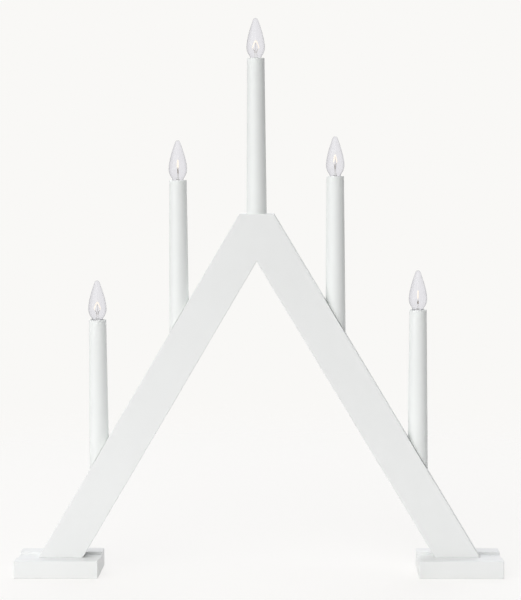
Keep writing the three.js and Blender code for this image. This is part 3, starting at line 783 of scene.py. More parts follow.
class FinishSettings(PropertyGroup):
    paint: colour("Paint", "Satin paint of the boards and feet", (0.86, 0.87, 0.86))
    paint_roughness: amount("Paint roughness", "Roughness of the paint", 0.42)
    sleeve: colour("Sleeves", "Moulded plastic of the candle sleeves", (0.89, 0.91, 0.893))
    sleeve_roughness: amount("Sleeve roughness", "Roughness of the candle sleeves", 0.22)
    holder: colour("Holders", "Moulded plastic of the lamp holders and the bush", (0.9, 0.9, 0.87))
    strip: colour("Strips", "Painted strips over the wire channel", (0.84, 0.84, 0.82))
    wire: colour("Wires", "Insulation of the conductors", (0.9, 0.9, 0.88))
    brass: colour("Brass", "Screw shells and centre contacts", (0.79, 0.63, 0.32))
    nickel: colour("Nickel", "Caps of the lamps", (0.72, 0.72, 0.7))
    zinc: colour("Zinc", "Screws in the feet", (0.62, 0.63, 0.64))
    lead: colour("Lead wire", "Wires that carry the filament", (0.3, 0.25, 0.2))
    # painted light: a pale copy of the lead colour, for the stem glass round the roots washing them out
    lead_root: colour("Lead root", "The same wires where the stem holds them", (0.88, 0.87, 0.84))
    glass: colour("Glass", "Lamp glass looked straight through", (0.912, 0.911, 0.934))
    # painted shade: the two edge colours below darken the glass where it turns away, for the dark rims
    # that refraction gives
    glass_edge_shade: colour("Glass edge", "Lamp glass seen edge on", (0.03, 0.02, 0.05))
    stem: colour("Stem glass", "Pressed glass stem looked straight through", (0.995, 0.995, 0.99))
    stem_edge_shade: colour("Stem edge", "Pressed glass stem seen edge on", (0.97, 0.97, 0.96))
    insulator: colour("Insulator", "Dark ring between cap and solder tip", (0.035, 0.03, 0.04))
    solder: colour("Solder", "Tip of a lamp's cap", (0.62, 0.63, 0.64))
    glow: colour("Glow", "Light of the filament", (1.0, 0.93, 0.82))
    glow_strength: amount("Glow strength", "Brightness of the filament", 1.0, 50.0)
    bare_wire: colour("Bare wire", "The filament's wire under its glow", (0.2, 0.16, 0.12))
    beech: colour("Beech", "Wood of the dowels", (0.62, 0.44, 0.26))
    dust: colour("Dust", "Dust on what faces up", (0.72, 0.71, 0.69))


class StageSettings(PropertyGroup):
    backdrop: colour("Backdrop", "Pale ground and background", (0.947, 0.939, 0.922))
    ambient: amount("Ambient", "Even light from all round", 0.175)
    front: amount("Front", "Radiance of the soft light above the camera", 0.76, 20.0)
    wide: amount("Wide", "Radiance of the broad light at the front left", 1.62, 20.0)
    strip: amount("Strip", "Radiance of the upright strip light at the left", 0.9, 20.0)
    rear: amount("Rear", "Radiance of the soft light behind", 1.45, 20.0)
    over: amount("Over", "Radiance of the cool soft light overhead", 1.8, 20.0)
    floor_radius: length("Floor", "Radius at which the floor has faded out", 1150.0)
    floor_solid: length("Solid floor", "Radius at which the floor begins to fade", 530.0)


class CandlestickSettings(PropertyGroup):
    frame: PointerProperty(type=FrameSettings)
    candle: PointerProperty(type=CandleSettings)
    lamp: PointerProperty(type=LampSettings)
    finishes: PointerProperty(type=FinishSettings)
    stage: PointerProperty(type=StageSettings)


# ---------------------------------------------------------------- boards and feet


class CANDLESTICK_OT_boards(Operator):
    """Two leaning boards with eased edges, wire channel, strip rebate and bores"""

    bl_idname = "candlestick.boards"
    bl_label = "Boards"

    def execute(self, context):
        width = context.scene.candlestick.frame.board_edge

        def weight(a, b):
            """None for the edges in the joint and in the foot."""
            return 1.0 - (on_plane(a, b, 0, 0.0) | on_plane(a, b, 2, LEG_END))

        for side in SIDES:
            outline = board_band(side, 0, BOARD_WIDTH, LEG_END, FRAME_HEIGHT)
            board = prism(f"{side}_board", outline, -BOARD_HALF_DEPTH, BOARD_HALF_DEPTH)
            ease_edges(board, width, weight)
            carve(board, self.cutters(side))
            even_shading(board)
            settle(board, f"{side}_leg", "painted_wood", finish(f"painted_{side}"))
        return {"FINISHED"}

    def cutters(self, side):
        """Solids of the channel, the rebate for the strip, and the bores."""
        behind = BOARD_HALF_DEPTH + PAST
        channel = channel_band(side, CHANNEL_WIDTH / 2, CHANNEL_END, CHANNEL_CEILING, -PAST)
        rebate = channel_band(side, COVER_WIDTH / 2 + FIT, COVER_END - FIT, COVER_TOP + FIT, -PAST)
        tools = [
            prism("channel", channel, CHANNEL_FLOOR_Y, behind),
            prism("rebate", rebate, COVER_SEAT_Y, behind),
        ]
        for candle, x, rim in each_candle():
            if side_sign(candle) == side_sign(side):
                tools.append(upright_bore(BORE_RADIUS, x, edge_z(abs(x), CHANNEL_MIDDLE), rim))
            elif candle == "top":
                tools.append(upright_bore(BORE_RADIUS, x, CHANNEL_CEILING - BORE_RADIUS, rim))
        radius, reach = DOWEL_RADIUS + FIT, DOWEL_HALF + FIT
        hole = turned([(0, -reach), (radius, -reach), (radius, reach), (0, reach)], 32)
        for rise in DOWEL_RISES.values():
            tools.append(skin("hole", across_joint(hole, rise)))
        for which in SCREWS:
            tools.append(upright_bore(SCREW_RADIUS + FIT, screw_place(side, which), 0, SCREW_TIP + FIT))
        return tools


class CANDLESTICK_OT_feet(Operator):
    """Two rectangular feet with a groove along the top, and counterbored screw holes"""

    bl_idname = "candlestick.feet"
    bl_label = "Feet"

    def execute(self, context):
        width = context.scene.candlestick.frame.foot_edge
        groove = BOARD_HALF_DEPTH + FIT
        half = [
            (FOOT_HALF_DEPTH, 0), (FOOT_HALF_DEPTH, FOOT_HEIGHT),
            (groove, FOOT_HEIGHT), (groove, LEG_END),
        ]
        outline = np.vstack([half, np.flipud(half) * (-1, 1)])

        def weight(a, b):
            """Less for the groove's edges, and none for the two in the bottom of the groove."""
            inside = np.maximum(abs(a[:, 1]), abs(b[:, 1])) < groove + CLOSE
            bottom = on_plane(a, b, 2, LEG_END) & (abs(a[:, 1] - b[:, 1]) < CLOSE)
            return np.where(inside, np.where(bottom, 0.0, GROOVE_EASE), 1.0)

        for side in SIDES:
            middle = foot_middle(side)
            low, high = middle - FOOT_HALF_LENGTH, middle + FOOT_HALF_LENGTH
            foot = prism(f"{side}_foot_block", outline, low, high, 0)
            ease_edges(foot, width, weight)
            tools = []
            for which in SCREWS:
                x = screw_place(side, which)
                tools.append(upright_bore(SCREW_RADIUS + FIT, x, -PAST, FOOT_HEIGHT))
                tools.append(upright_bore(SCREW_HEAD_RADIUS + FIT, x, -PAST, SCREW_SUNK))
            carve(foot, tools)
            even_shading(foot)
            settle(foot, f"{side}_foot", "painted_wood", finish("painted_foot"))
        return {"FINISHED"}


class CANDLESTICK_OT_cover_strips(Operator):
    """Thin strips over the wire channel in the back of the boards"""

    bl_idname = "candlestick.cover_strips"
    bl_label = "Cover strips"

    def execute(self, context):
        width = context.scene.candlestick.frame.strip_edge
        for side in SIDES:
            outline = channel_band(side, COVER_WIDTH / 2, COVER_END, COVER_TOP, FIT / 2)
            strip = prism(f"{side}_cover_strip", outline, COVER_SEAT_Y, BOARD_HALF_DEPTH)
            ease_edges(strip, width, lambda a, b: on_plane(a, b, 1, BOARD_HALF_DEPTH), 2)
            if side == "left":
                radius, end = BUSH_NECK_RADIUS + FIT, BOARD_HALF_DEPTH - COVER_SEAT_Y + PAST
                hole = turned([(0, -PAST), (radius, -PAST), (radius, end), (0, end)], 48)
                lying = hole[..., [0, 2, 1]]
                x = -edge_x(INLET_Z, CHANNEL_MIDDLE)
                carve(strip, [skin("hole", moved(lying, x, COVER_SEAT_Y, INLET_Z))])
            even_shading(strip)
            settle(strip, f"{side}_channel_cover", "cover_strip", finish("cover_paint"))
        return {"FINISHED"}


class CANDLESTICK_OT_cord_bush(Operator):
    """Moulded bush for the mains cord, with a rounded slot through it"""

    bl_idname = "candlestick.cord_bush"
    bl_label = "Cord bush"

    def execute(self, context):
        neck, flange, seat = BUSH_NECK_RADIUS, BUSH_FLANGE_RADIUS, BOARD_HALF_DEPTH
        back, face = seat - BUSH_NECK_LENGTH, seat + BUSH_FLANGE_THICKNESS
        outer = eased([(neck, back), (neck, seat), (flange, seat), (flange, face)], 0.3)
        rim = bezier([(flange, face - 0.7), (flange - 0.1, face), (flange - 1.0, face)], 6)
        turn = np.linspace(0, 2 * pi, 72, endpoint=False)[None, :]
        # slot outline: the radius of a rounded rectangle, (|cos t / w|^5 + |sin t / h|^5)^(-1/5)
        across, along = np.cos(turn) / CORD_HALF_WIDTH, np.sin(turn) / CORD_HALF_HEIGHT
        slot = (abs(across) ** 5 + abs(along) ** 5) ** -0.2
        # how far the wall of the passage stands back from that outline, at its mouth and at its end
        mouth = bezier([(0.9, face), (0.1, face), (0.0, face - 0.9)], 6)
        passage = [(0.0, back + 0.5), (0.35, back)]
        rings = np.vstack([outer[:-1], rim])
        inner = np.vstack([mouth, passage])
        radius = np.vstack([rings[:, :1] + 0 * turn, slot + inner[:, :1]])
        depth = np.vstack([rings[:, 1:] + 0 * turn, inner[:, 1:] + 0 * turn])
        x = -edge_x(INLET_Z, CHANNEL_MIDDLE)
        grid = np.stack([x + radius * np.cos(turn), depth, INLET_Z + radius * np.sin(turn)], -1)
        bush = skin("cord_bush", grid, True)
        settle(bush, "cord_inlet_bush", "holder_plastic", finish("moulded_plastic"))
        return {"FINISHED"}


class CANDLESTICK_OT_dowels(Operator):
    """Fluted beech dowels across the joint at the apex"""

    bl_idname = "candlestick.dowels"
    bl_label = "Dowels"

    def execute(self, context):
        end = [(0, -DOWEL_HALF), (DOWEL_RADIUS - 0.7, -DOWEL_HALF), (DOWEL_RADIUS, -DOWEL_HALF + 1.2)]
        profile = np.vstack([end, np.flipud(end) * (1, -1)])
        depth = 0.22

        def flutes(height, turn):
            """Eighteen narrow grooves round the dowel, -d (1/2 + 1/2 cos 18 t)^6, and none on the
            chamfered ends."""
            body = np.where(abs(height) < DOWEL_HALF - 1.0, 1.0, 0.0)
            return -depth * body * (0.5 + 0.5 * np.cos(18 * turn)) ** 6

        grid = turned(profile, 144, flutes)
        for level, rise in DOWEL_RISES.items():
            dowel = skin(f"{level}_dowel", across_joint(grid, rise))
            settle(dowel, f"apex_dowel_{level}", "beech", finish("bare_beech"))
        return {"FINISHED"}


class CANDLESTICK_OT_foot_screws(Operator):
    """Wood screws through the feet, with a pan head, a cross recess and a coarse thread"""

    bl_idname = "candlestick.foot_screws"
    bl_label = "Foot screws"

    def execute(self, context):
        head = bezier([(0, 0.8), (3.2, 0.8), (SCREW_HEAD_RADIUS, 2.4), (SCREW_HEAD_RADIUS, 3.5)], 10)
        neck = [(SCREW_HEAD_RADIUS - 0.05, 3.7), (SCREW_RADIUS, 3.7), (1.6, 7.5)]
        core, depth = 1.65, 0.35
        point = np.column_stack([np.linspace(1.6, 0, 12), np.linspace(27.7, SCREW_TIP, 12)])
        profile = np.vstack([head, neck, straight(core, 8, 27.6, 150), point])

        def thread(height, turn):
            """A sharp ridge, d (1/2 + 1/2 cos(2 pi h / pitch - t))^5, that fades out at both ends."""
            ridge = (0.5 + 0.5 * np.cos(2 * pi * height / SCREW_PITCH - turn)) ** 5
            fade = np.clip((height - 7.5) / 2, 0, 1) * np.clip((SCREW_TIP - height) / 3, 0, 1)
            return depth * ridge * fade

        arm, reach = 0.45, 1.9
        cross = [(arm, arm), (arm, reach), (-arm, reach), (-arm, arm), (-reach, arm), (-reach, -arm),
                 (-arm, -arm), (-arm, -reach), (arm, -reach), (arm, -arm), (reach, -arm), (reach, arm)]
        for side in SIDES:
            for which in SCREWS:
                x = screw_place(side, which)
                screw = skin(f"{side}_{which}_screw", moved(turned(profile, 40, thread), x))
                carve(screw, [prism("recess", np.array(cross) + (x, 0), 0, 2.6, 2)])
                even_shading(screw, 30)
                settle(screw, f"{side}_foot_screw_{which}", "zinc_steel", finish("zinc"))
        return {"FINISHED"}


# ---------------------------------------------------------------- candles


class CANDLESTICK_OT_sleeves(Operator):
    """Tapered candle sleeves with a rounded rim, cut along the slope they stand on"""

    bl_idname = "candlestick.sleeves"
    bl_label = "Candle sleeves"

    def execute(self, context):
        edge = context.scene.candlestick.candle.rim_edge / MM
        for candle, x, rim in each_candle():
            grid = moved(self.wall(candle, rim, edge), x)
            sleeve = skin(f"{candle}_sleeve", grid, True, smooth_angle=50)
            settle(sleeve, f"{candle}_candle_tube", "candle_plastic", finish("sleeve_plastic"))
        return {"FINISHED"}

    def wall(self, candle, rim, edge):
        """Closed wall profile carried round the axis. The outer and inner radius grow down the
        sleeve, r = r_rim + taper (rim - z), and the lower end lies on the plane of the wood:
        z = seat + gap - k r, with k = side cos t / tan(lean), solved for z. The rim is rounded by
        a quarter of a circle outside and a smaller one inside."""
        turn = np.linspace(0, 2 * pi, 96, endpoint=False)[None, :]
        slope = side_sign(candle) * np.cos(turn) / tan(LEAN)
        gap = FIT / sin(LEAN) if side_sign(candle) else 0.0
        seat = seat_height(candle)

        def foot(radius):
            """Level of the lower end, for a surface with this radius at the rim."""
            return (seat + gap - slope * (radius + rim * SLEEVE_TAPER)) / (1 - slope * SLEEVE_TAPER)

        share = np.linspace(0, 1, 24)[:, None]
        ease = np.linspace(0, pi / 2, 6)[:, None]
        inner_edge = edge * INNER_EASE
        height = np.vstack([
            foot(RIM_RADIUS) * (1 - share) + (rim - edge) * share,
            rim - edge + edge * np.sin(ease[1:]) + 0 * turn,
            rim - inner_edge + inner_edge * np.cos(ease) + 0 * turn,
            (rim - inner_edge) * (1 - share[1:]) + foot(RIM_BORE) * share[1:],
        ])
        radius = np.vstack([
            RIM_RADIUS + 0 * share + 0 * turn,
            RIM_RADIUS - edge * (1 - np.cos(ease[1:])) + 0 * turn,
            RIM_BORE + inner_edge * (1 - np.sin(ease)) + 0 * turn,
            RIM_BORE + 0 * share[1:] + 0 * turn,
        ])
        radius = radius + (rim - height) * SLEEVE_TAPER
        return np.stack([radius * np.cos(turn), radius * np.sin(turn), height], -1)


class CANDLESTICK_OT_holders(Operator):
    """Moulded lamp holders: socket, floor, hollow stalk with a collar, and the peg in the wood"""

    bl_idname = "candlestick.holders"
    bl_label = "Lamp holders"

    def execute(self, context):
        edge = context.scene.candlestick.candle.holder_edge / MM
        for candle, x, rim in each_candle():
            seat, sloped = seat_height(candle), side_sign(candle) != 0
            shoulder = seat + HOLDER_RADIUS / tan(LEAN) + SEAT_GAP if sloped else seat
            peg_end = seat - PEG_DEPTH if sloped else CHANNEL_CEILING + PEG_GAP
            low, high, inside = (shoulder + rise for rise in (COLLAR_LOW, COLLAR_HIGH, STALK_FLOOR))
            top, ledge, pocket = rim + HOLDER_TOP, rim + LEDGE, rim + POCKET_FLOOR
            under, hole = rim + FLOOR_BOTTOM, RIVET_RADIUS + FIT
            collar = RIM_BORE + (rim - high) * SLEEVE_TAPER - FIT
            profile = [
                (PEG_BORE, peg_end), (PEG_RADIUS, peg_end), (PEG_RADIUS, shoulder),
                (HOLDER_RADIUS, shoulder), (HOLDER_RADIUS, low), (collar, low), (collar, high),
                (HOLDER_RADIUS, high), (HOLDER_RADIUS, top), (HOLDER_BORE, top), (HOLDER_BORE, ledge),
                (POCKET_RADIUS, ledge), (POCKET_RADIUS, pocket), (hole, pocket), (hole, under),
                (STALK_BORE, under), (STALK_BORE, inside), (PEG_BORE, inside),
            ]
            holder = skin(f"{candle}_holder", moved(turned(eased(profile, edge, 3, True), 64), x), True)
            near, far = sorted((x + inward(candle) * SLOT_NEAR, x + inward(candle) * SLOT_FAR))
            half = SLOT_HALF_WIDTH
            slot = [(near, -half), (far, -half), (far, half), (near, half)]
            carve(holder, [prism("slot", slot, under - PAST, ledge + PAST, 2)])
            even_shading(holder)
            settle(holder, f"{candle}_lamp_holder", "holder_plastic", finish("moulded_plastic"))
        return {"FINISHED"}


def lamp_thread(depth, top, bottom):
    """Ripple of the lamp thread: d cos(2 pi h / pitch - t), a right-hand helix that fades out over
    one millimetre at both ends. Cap and shell share it, so that they mesh."""

    def ripple(height, turn):
        fade = np.clip((top - height), 0, 1) * np.clip((height - bottom), 0, 1)
        return depth * fade * np.cos(2 * pi * height / THREAD_PITCH - turn)

    return ripple


class CANDLESTICK_OT_shells(Operator):
    """Brass screw shells pressed with the lamp thread, each with its solder tag"""

    bl_idname = "candlestick.shells"
    bl_label = "Screw shells"

    def execute(self, context):
        depth = context.scene.candlestick.candle.thread_depth / MM
        ripple = lamp_thread(depth, SHELL_TOP, SHELL_BOTTOM)
        outer = straight(SHELL_RADIUS, SHELL_BOTTOM, SHELL_TOP, 90)
        inner = straight(SHELL_RADIUS - SHELL_THICKNESS, SHELL_BOTTOM, SHELL_TOP, 90)
        wall = np.vstack([outer, inner[::-1]])
        bend = SHELL_BOTTOM + TAG_THICKNESS
        strip = eased([
            (TAG_JOIN, SHELL_BOTTOM), (TAG_JOIN, bend), (TAG_NEAR, bend), (TAG_NEAR, TAG_END),
            (TAG_FAR, TAG_END), (TAG_FAR, SHELL_BOTTOM),
        ], 0.15, 3, True)
        for candle, x, rim in each_candle():
            shell = skin(f"{candle}_shell", moved(turned(wall, 64, ripple), x, 0, rim), True)
            tag = prism("tag", strip * (inward(candle), 1) + (x, rim), -1, 1)
            carve(shell, [tag], "UNION")
            even_shading(shell, 45)
            settle(shell, f"{candle}_screw_shell", "contact_brass", finish("brass"))
        return {"FINISHED"}


class CANDLESTICK_OT_contacts(Operator):
    """Centre contacts: a raised nub on a disc, riveted through the holder's floor"""

    bl_idname = "candlestick.contacts"
    bl_label = "Centre contacts"

    def execute(self, context):
        disc, nub = POCKET_FLOOR + 0.6, POCKET_FLOOR + 1.7
        profile = eased([
            (0, TAG_END), (RIVET_RADIUS, TAG_END), (RIVET_RADIUS, POCKET_FLOOR),
            (DISC_RADIUS, POCKET_FLOOR), (DISC_RADIUS, disc), (1.2, disc), (0.9, nub), (0, nub),
        ], 0.2)
        for candle, x, rim in each_candle():
            contact = skin(f"{candle}_contact", moved(turned(profile, 40), x, 0, rim))
            settle(contact, f"{candle}_centre_contact", "contact_brass", finish("brass"))
        return {"FINISHED"}


# ---------------------------------------------------------------- lamps


def drop_outline(offset, steps):
    """Half outline of the glass drop, from its neck to the tip on the axis, taken in by an offset:
    three Bezier curves, neck to belly, belly to shoulder, shoulder to tip."""
    neck, belly, shoulder = NECK_RADIUS - offset, BELLY_RADIUS - offset, SHOULDER_RADIUS - offset
    tip, top = GLASS_TIP - offset, SHOULDER - offset
    rise = top - BELLY
    return np.vstack([
        [(neck, GLASS_END)],
        bezier([
            (neck, 0.8), (neck + (belly - neck) * 0.2, 2.45), (belly, 4.7), (belly, BELLY),
        ], steps),
        bezier([
            (belly, BELLY), (belly, BELLY + 0.3 * rise),
            (shoulder + 0.42 * (belly - shoulder), BELLY + 0.714 * rise), (shoulder, top),
        ], steps)[1:],
        bezier([(shoulder, top), (0.73 * shoulder, tip), (0, tip)], steps // 2)[1:],
    ])


def mounted(points, mount, back=False):
    """Stem or wires as they stand in one lamp, or back again: x cos a - y sin a, x sin a + y cos a,
    and z stretched between two levels, so that what is above them stands higher by the lift."""
    angle, lift = (-1 if back else 1) * radians(mount[0]), mount[1]
    low, high, beyond = 2, 7, 50
    plain, lifted = (-beyond, low, high, beyond), (-beyond, low, high + lift, beyond + lift)
    x, y, z = np.moveaxis(points, -1, 0)
    z = np.interp(z, lifted, plain) if back else np.interp(z, plain, lifted)
    return np.stack([x * cos(angle) - y * sin(angle), x * sin(angle) + y * cos(angle), z], -1)


class CANDLESTICK_OT_lamp_glasses(Operator):
    """Drop-shaped lamp glasses with an inner and an outer surface"""

    bl_idname = "candlestick.lamp_glasses"
    bl_label = "Lamp glasses"

    def execute(self, context):
        wall = context.scene.candlestick.lamp.glass_wall / MM
        profile = np.vstack([np.flipud(drop_outline(0, 28)), drop_outline(wall, 28)])
        for candle, x, rim in each_candle():
            grid = moved(turned(profile, 96), x, 0, rim)
            drop = skin(f"{candle}_drop", grid, smooth_angle=60)
            drop.visible_shadow = False
            settle(drop, f"{candle}_bulb_glass", "clear_glass", finish("lamp_glass"))
        return {"FINISHED"}


class CANDLESTICK_OT_lamp_caps(Operator):
    """Nickel screw caps with a dark insulator and a solder tip"""

    bl_idname = "candlestick.lamp_caps"
    bl_label = "Lamp caps"

    def execute(self, context):
        depth = context.scene.candlestick.candle.thread_depth / MM
        tip = bezier([(0, -12.3), (1.5, -12.3), (1.9, -11.7)], 6)
        cone = bezier([(1.95, -11.6), (2.6, -11.6), (3.4, -11.2), (4.4, THREAD_END)], 8)
        thread = straight(CAP_RADIUS, THREAD_END, THREAD_TOP, 84)
        flange = eased([
            (CAP_RADIUS, THREAD_TOP), (FLANGE_RADIUS, THREAD_TOP), (FLANGE_RADIUS, FLANGE_TOP),
            (0, FLANGE_TOP),
        ], 0.2)
        profile = np.vstack([tip, cone, thread, flange])
        ripple = lamp_thread(depth, THREAD_TOP, THREAD_END)
        levels = (-THREAD_END, -SOLDER_TOP)
        for candle, x, rim in each_candle():
            grid = moved(turned(profile, 64, ripple), x, 0, rim)
            cap = skin(f"{candle}_cap_piece", grid, smooth_angle=50)
            tint_faces(cap, lambda middle: np.digitize(rim - middle[:, 2], levels))
            materials = (finish("nickel"), finish("insulator"), finish("solder"))
            settle(cap, f"{candle}_bulb_base", "cap_metal", *materials)
        return {"FINISHED"}


class CANDLESTICK_OT_stems(Operator):
    """Glass stems, flared at the cap and pressed flat round the wires at the top"""

    bl_idname = "candlestick.stems"
    bl_label = "Stems"

    def execute(self, context):
        flare = bezier([(3.2, -0.45), (1.6, 0.2), (1.2, 1.0), (1.2, 2.6)], 14)
        press = bezier([(1.2, 2.6), (1.2, 4.4), (1.45, 5.0), (1.3, STEM_TOP)], 14)[1:]
        profile = np.vstack([[(0, -0.5), (3.1, -0.5)], flare, press, [(0, STEM_TOP)]])
        grid = turned(profile, 48)
        # pressed towards the plane of the wires: y times 1 - 0.55 s, s rising smoothly from 2.2 to 4.8
        share = np.clip((grid[..., 2] - 2.2) / 2.6, 0, 1)
        grid[..., 1] *= 1 - 0.55 * share**2 * (3 - 2 * share)
        for candle, x, rim in each_candle():
            standing = moved(mounted(grid, MOUNTS[candle]), x, 0, rim)
            stem = skin(f"{candle}_stem_piece", standing, smooth_angle=45)
            stem.visible_shadow = False
            settle(stem, f"{candle}_bulb_stem", "stem_glass", finish("pressed_glass"))
        return {"FINISHED"}


class CANDLESTICK_OT_filaments(Operator):
    """Coiled filaments peaked over a prop, with the leads that hold their ends"""

    bl_idname = "candlestick.filaments"
    bl_label = "Filaments"
    across = np.array([[0.0, 1.0, 0.0]])  # square to the plane of the arch

    def execute(self, context):
        lamp = context.scene.candlestick.lamp
        coil, wire, lead = (value / MM for value in (lamp.coil_radius, lamp.coil_wire, lamp.lead_wire))
        grids = [self.coil(coil, wire)]
        for sign in (-1, 1):
            root = bezier([(1.6, -0.4), (1.3, 2.0), (0.9, 3.5), (0.85, 5.0)], 14)
            run = bezier([(0.85, 5.0), (0.9, 7.6), (2.2, 7.4), (ARCH_HALF_SPAN, 9.0)], 14)[1:]
            hook = bezier([(ARCH_HALF_SPAN, 9.0), (2.95, 9.5), (2.75, 9.7)], 6)[1:]
            path = np.insert(np.vstack([root, run, hook]) * (sign, 1), 1, 0.0, axis=1)
            grids.append(swept(path, self.across, lead, 10))
        prop = np.insert(straight(0.0, 2.6, ARCH_ENDS + ARCH_RISE, 16), 1, 0.0, axis=1)
        grids.append(swept(prop, self.across, 0.6 * lead, 8))
        for candle, x, rim in each_candle():
            mount = MOUNTS[candle]
            points, faces, start = [], [], 0
            for grid in grids:
                rows, cols = grid.shape[:2]
                points.append(moved(mounted(grid, mount), x, 0, rim).reshape(-1, 3))
                faces.append(grid_faces(rows, cols) + start)
                start += rows * cols
            faces = np.vstack(faces).tolist()
            arch = new_piece(f"{candle}_filament_coil", np.vstack(points), faces, 60)
            home = (x, 0, rim)
            tint_faces(arch, lambda middle: self.part_of(mounted(middle - home, mount, True), coil))
            # the roots of the leads take a pale colour, painted light standing in for the stem glass
            # round them
            materials = (finish("hot_wire"), finish("lead_wire"), finish("lead_root"))
            settle(arch, f"{candle}_bulb_filament", "filament", *materials)
        return {"FINISHED"}

    @staticmethod
    def arch_height(x):
        """Height of the filament at a place in its span: ends + rise (1 - |x / half span|^power)."""
        return ARCH_ENDS + ARCH_RISE * (1 - abs(x / ARCH_HALF_SPAN) ** ARCH_POWER)

    def coil(self, radius, wire):
        """A helix round the arch: c + r (n cos p + y sin p), n square to the arch in its plane and
        p growing with the length of the arch, one turn to each pitch."""
        x = np.linspace(-ARCH_HALF_SPAN, ARCH_HALF_SPAN, 900)
        centre = np.column_stack([x, 0 * x, self.arch_height(x)])
        step = np.gradient(centre, axis=0)
        length = np.concatenate([[0], np.cumsum(np.linalg.norm(np.diff(centre, axis=0), axis=1))])
        step /= np.linalg.norm(step, axis=1, keepdims=True)
        normal = np.column_stack([-step[:, 2], 0 * x, step[:, 0]])
        turn = (2 * pi * length / COIL_PITCH)[:, None]
        outward = normal * np.cos(turn) + self.across * np.sin(turn)
        return swept(centre + radius * outward, outward, wire, 5)

    def part_of(self, middle, coil):
        """0 for the arch, 1 for the leads and the prop away from it, 2 for the roots of the leads,
        which are painted pale as painted light.
        The arch reaches three coil radii down in its middle, and more where it stands steeply."""
        x = np.clip(middle[:, 0], -ARCH_HALF_SPAN, ARCH_HALF_SPAN)
        below = self.arch_height(x) - middle[:, 2] > 3 * coil * (1 + 2 * abs(x) / ARCH_HALF_SPAN)
        beside = abs(middle[:, 0]) > ARCH_HALF_SPAN + 1.4 * coil
        return np.where(below | beside, np.where(middle[:, 2] < LEAD_ROOT, 2, 1), 0)


class CANDLESTICK_OT_wires(Operator):
    """Insulated conductors in the channel and the holders"""

    bl_idname = "candlestick.wires"
    bl_label = "Wires"

    def execute(self, context):
        wires = [node for name, node in frame["nodes"].items() if name.startswith("wire_")]
        if not wires:
            raise RuntimeError("the frame has no wires")
        for wire in wires:
            for place in wire.material_slots:
                place.material = finish("wire_sleeve")
        return {"FINISHED"}


# ---------------------------------------------------------------- stage

LENS = 106.8
CAMERA_PLACE = Vector((47.5, -1600.0, 387.1))
CAMERA_TURN = (85.0883, 0.3415, 1.5651)  # degrees
AIM = Vector((0, 0, 0.25))  # the point that the lights are turned to, in metres
FLOOR_DROP = 0.05
OWN_LIGHT = 1.04  # strength of the floor's own glow
OWN_SHARE = 0.75  # share of that glow in what is seen of the floor
WHITE = (1.0, 1.0, 1.0)
COOL = (0.9, 0.91, 1.0)
LIGHTS = (
    # name of its setting, azimuth, elevation, distance, width, height, colour
    ("front", 3, 38, 3.4, 3.0, 2.6, WHITE),
    ("wide", -35, 25, 3.7, 5.0, 4.0, WHITE),
    ("strip", -50, 12, 3.0, 0.8, 2.6, WHITE),
    ("rear", 177, 25, 3.8, 4.0, 3.0, WHITE),
    ("over", 177, 72, 3.4, 3.0, 3.0, COOL),
)


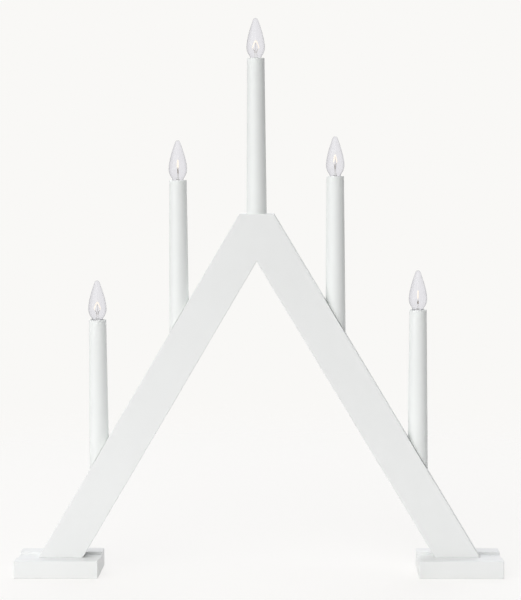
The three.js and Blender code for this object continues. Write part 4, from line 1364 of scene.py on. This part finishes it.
class CANDLESTICK_OT_stage(Operator):
    """Pale floor and background, soft lights and the camera"""

    bl_idname = "candlestick.stage"
    bl_label = "Stage"

    def execute(self, context):
        look = context.scene.candlestick.stage
        context.scene.view_settings.view_transform = "Standard"
        self.world(context.scene, look)
        self.floor(look)
        for name, *values in LIGHTS:
            self.light(name, getattr(look, name), *values)
        self.camera(context.scene)
        return {"FINISHED"}

    def world(self, scene, look):
        """The backdrop's colour to the camera, to gloss and through glass; even light to the rest."""
        world = bpy.data.worlds.new("studio")
        world.use_nodes = True
        tree = world.node_tree
        shade = blended(tree, self.seen(tree), rgba(WHITE, look.ambient), rgba(look.backdrop))
        tree.links.new(shade, tree.nodes["Background"].inputs["Color"])
        scene.world = world

    @staticmethod
    def seen(tree):
        """1 for rays from the camera, off gloss and through glass, 0 for the rest."""
        ray = place_node(tree, "ShaderNodeLightPath").outputs
        total = calc(tree, "ADD", ray["Is Camera Ray"], ray["Is Glossy Ray"])
        return calc(tree, "MINIMUM", calc(tree, "ADD", total, ray["Is Transmission Ray"]), 1.0)

    def floor(self, look):
        """A disc that takes the shadow near the object and fades out into the background. Where it
        is seen, a part of it glows evenly in the backdrop's colour, which keeps the shadow soft."""
        share = np.linspace(0, 1, 24)[:, None]
        turn = np.linspace(0, 2 * pi, 96, endpoint=False)[None, :]
        radius = share * look.floor_radius / MM
        level = 0 * radius * turn - FLOOR_DROP
        grid = np.stack([radius * np.cos(turn), radius * np.sin(turn), level], -1)
        rows, cols = grid.shape[:2]
        mesh = bpy.data.meshes.new("floor")
        mesh.from_pydata(grid.reshape(-1, 3) * MM, [], grid_faces(rows, cols).tolist())
        floor = bpy.data.objects.new("floor", mesh)
        bpy.context.scene.collection.objects.link(floor)
        material, tree, shader, own = start_material("floor")
        matt = {"Base Color": rgba(look.backdrop), "Roughness": 0.9, "Specular IOR Level": 0.0}
        feed(tree, shader, matt)
        inputs = {"Color": rgba(look.backdrop), "Strength": OWN_LIGHT}
        glow = place_node(tree, "ShaderNodeEmission", inputs).outputs[0]
        share = calc(tree, "MULTIPLY", self.seen(tree), OWN_SHARE)
        inputs = {0: share, 1: shader.outputs[0], 2: glow}
        lit = place_node(tree, "ShaderNodeMixShader", inputs).outputs[0]
        reach = place_node(tree, "ShaderNodeVectorMath", {0: own}, operation="LENGTH").outputs["Value"]
        fade = place_node(tree, "ShaderNodeMapRange", {
            "Value": reach, "From Min": look.floor_solid, "From Max": look.floor_radius * 0.98,
        }, interpolation_type="SMOOTHSTEP").outputs[0]
        clear = place_node(tree, "ShaderNodeBsdfTransparent").outputs[0]
        both = place_node(tree, "ShaderNodeMixShader", {0: fade, 1: lit, 2: clear}).outputs[0]
        tree.links.new(both, tree.nodes["Material Output"].inputs["Surface"])
        mesh.materials.append(material)

    def light(self, name, radiance, azimuth, elevation, distance, width, height, tint):
        """A soft rectangular lamp aimed at the middle of the object, its power from its radiance.
        Azimuth is counted from the front towards the right. Angles are in degrees, lengths in metres,
        and the lights behind the object don't show in its gloss."""
        lamp = bpy.data.lights.new(name, "AREA")
        lamp.shape = "RECTANGLE"
        lamp.size, lamp.size_y = width, height
        lamp.energy = radiance * pi * width * height
        lamp.color = tint
        piece = bpy.data.objects.new(name, lamp)
        turn, rise = radians(azimuth), radians(elevation)
        away = Vector((sin(turn) * cos(rise), -cos(turn) * cos(rise), sin(rise)))
        piece.location = AIM + away * distance
        piece.rotation_euler = away.to_track_quat("Z", "Y").to_euler()
        piece.visible_camera = False
        piece.visible_transmission = False
        piece.visible_glossy = abs(azimuth) < 90
        bpy.context.scene.collection.objects.link(piece)

    def camera(self, scene):
        """A long lens a little right of the middle, looking slightly down."""
        lens = bpy.data.cameras.new("camera")
        lens.lens = LENS
        view = bpy.data.objects.new("camera", lens)
        view.location = CAMERA_PLACE * MM
        view.rotation_euler = Euler([radians(angle) for angle in CAMERA_TURN])
        scene.collection.objects.link(view)
        scene.camera = view


# ---------------------------------------------------------------- add-on

operators = (
    CANDLESTICK_OT_boards, CANDLESTICK_OT_feet, CANDLESTICK_OT_cover_strips, CANDLESTICK_OT_cord_bush,
    CANDLESTICK_OT_dowels, CANDLESTICK_OT_foot_screws, CANDLESTICK_OT_sleeves, CANDLESTICK_OT_holders,
    CANDLESTICK_OT_shells, CANDLESTICK_OT_contacts, CANDLESTICK_OT_lamp_glasses,
    CANDLESTICK_OT_lamp_caps, CANDLESTICK_OT_stems, CANDLESTICK_OT_filaments, CANDLESTICK_OT_wires,
    CANDLESTICK_OT_stage,
)


class CANDLESTICK_PT_pieces(Panel):
    """Pieces of the candlestick"""

    bl_idname = "CANDLESTICK_PT_pieces"
    bl_label = "Candlestick"
    bl_space_type = "VIEW_3D"
    bl_region_type = "UI"
    bl_category = "Candlestick"

    def draw(self, context):
        settings = context.scene.candlestick
        for group in ("frame", "candle", "lamp", "finishes", "stage"):
            box = self.layout.box()
            owner = getattr(settings, group)
            for name in owner.__annotations__:
                box.prop(owner, name)
        for operator in operators:
            self.layout.operator(operator.bl_idname)


classes = (
    FrameSettings, CandleSettings, LampSettings, FinishSettings, StageSettings, CandlestickSettings,
    *operators, CANDLESTICK_PT_pieces,
)


def register():
    for cls in classes:
        bpy.utils.register_class(cls)
    bpy.types.Scene.candlestick = PointerProperty(type=CandlestickSettings)


def unregister():
    del bpy.types.Scene.candlestick
    for cls in reversed(classes):
        bpy.utils.unregister_class(cls)


def main():
    """Every piece in order, then the stage around them."""
    register()
    for operator in operators:
        group, name = operator.bl_idname.split(".")
        getattr(getattr(bpy.ops, group), name)()


if __name__ == "__main__":
    main()
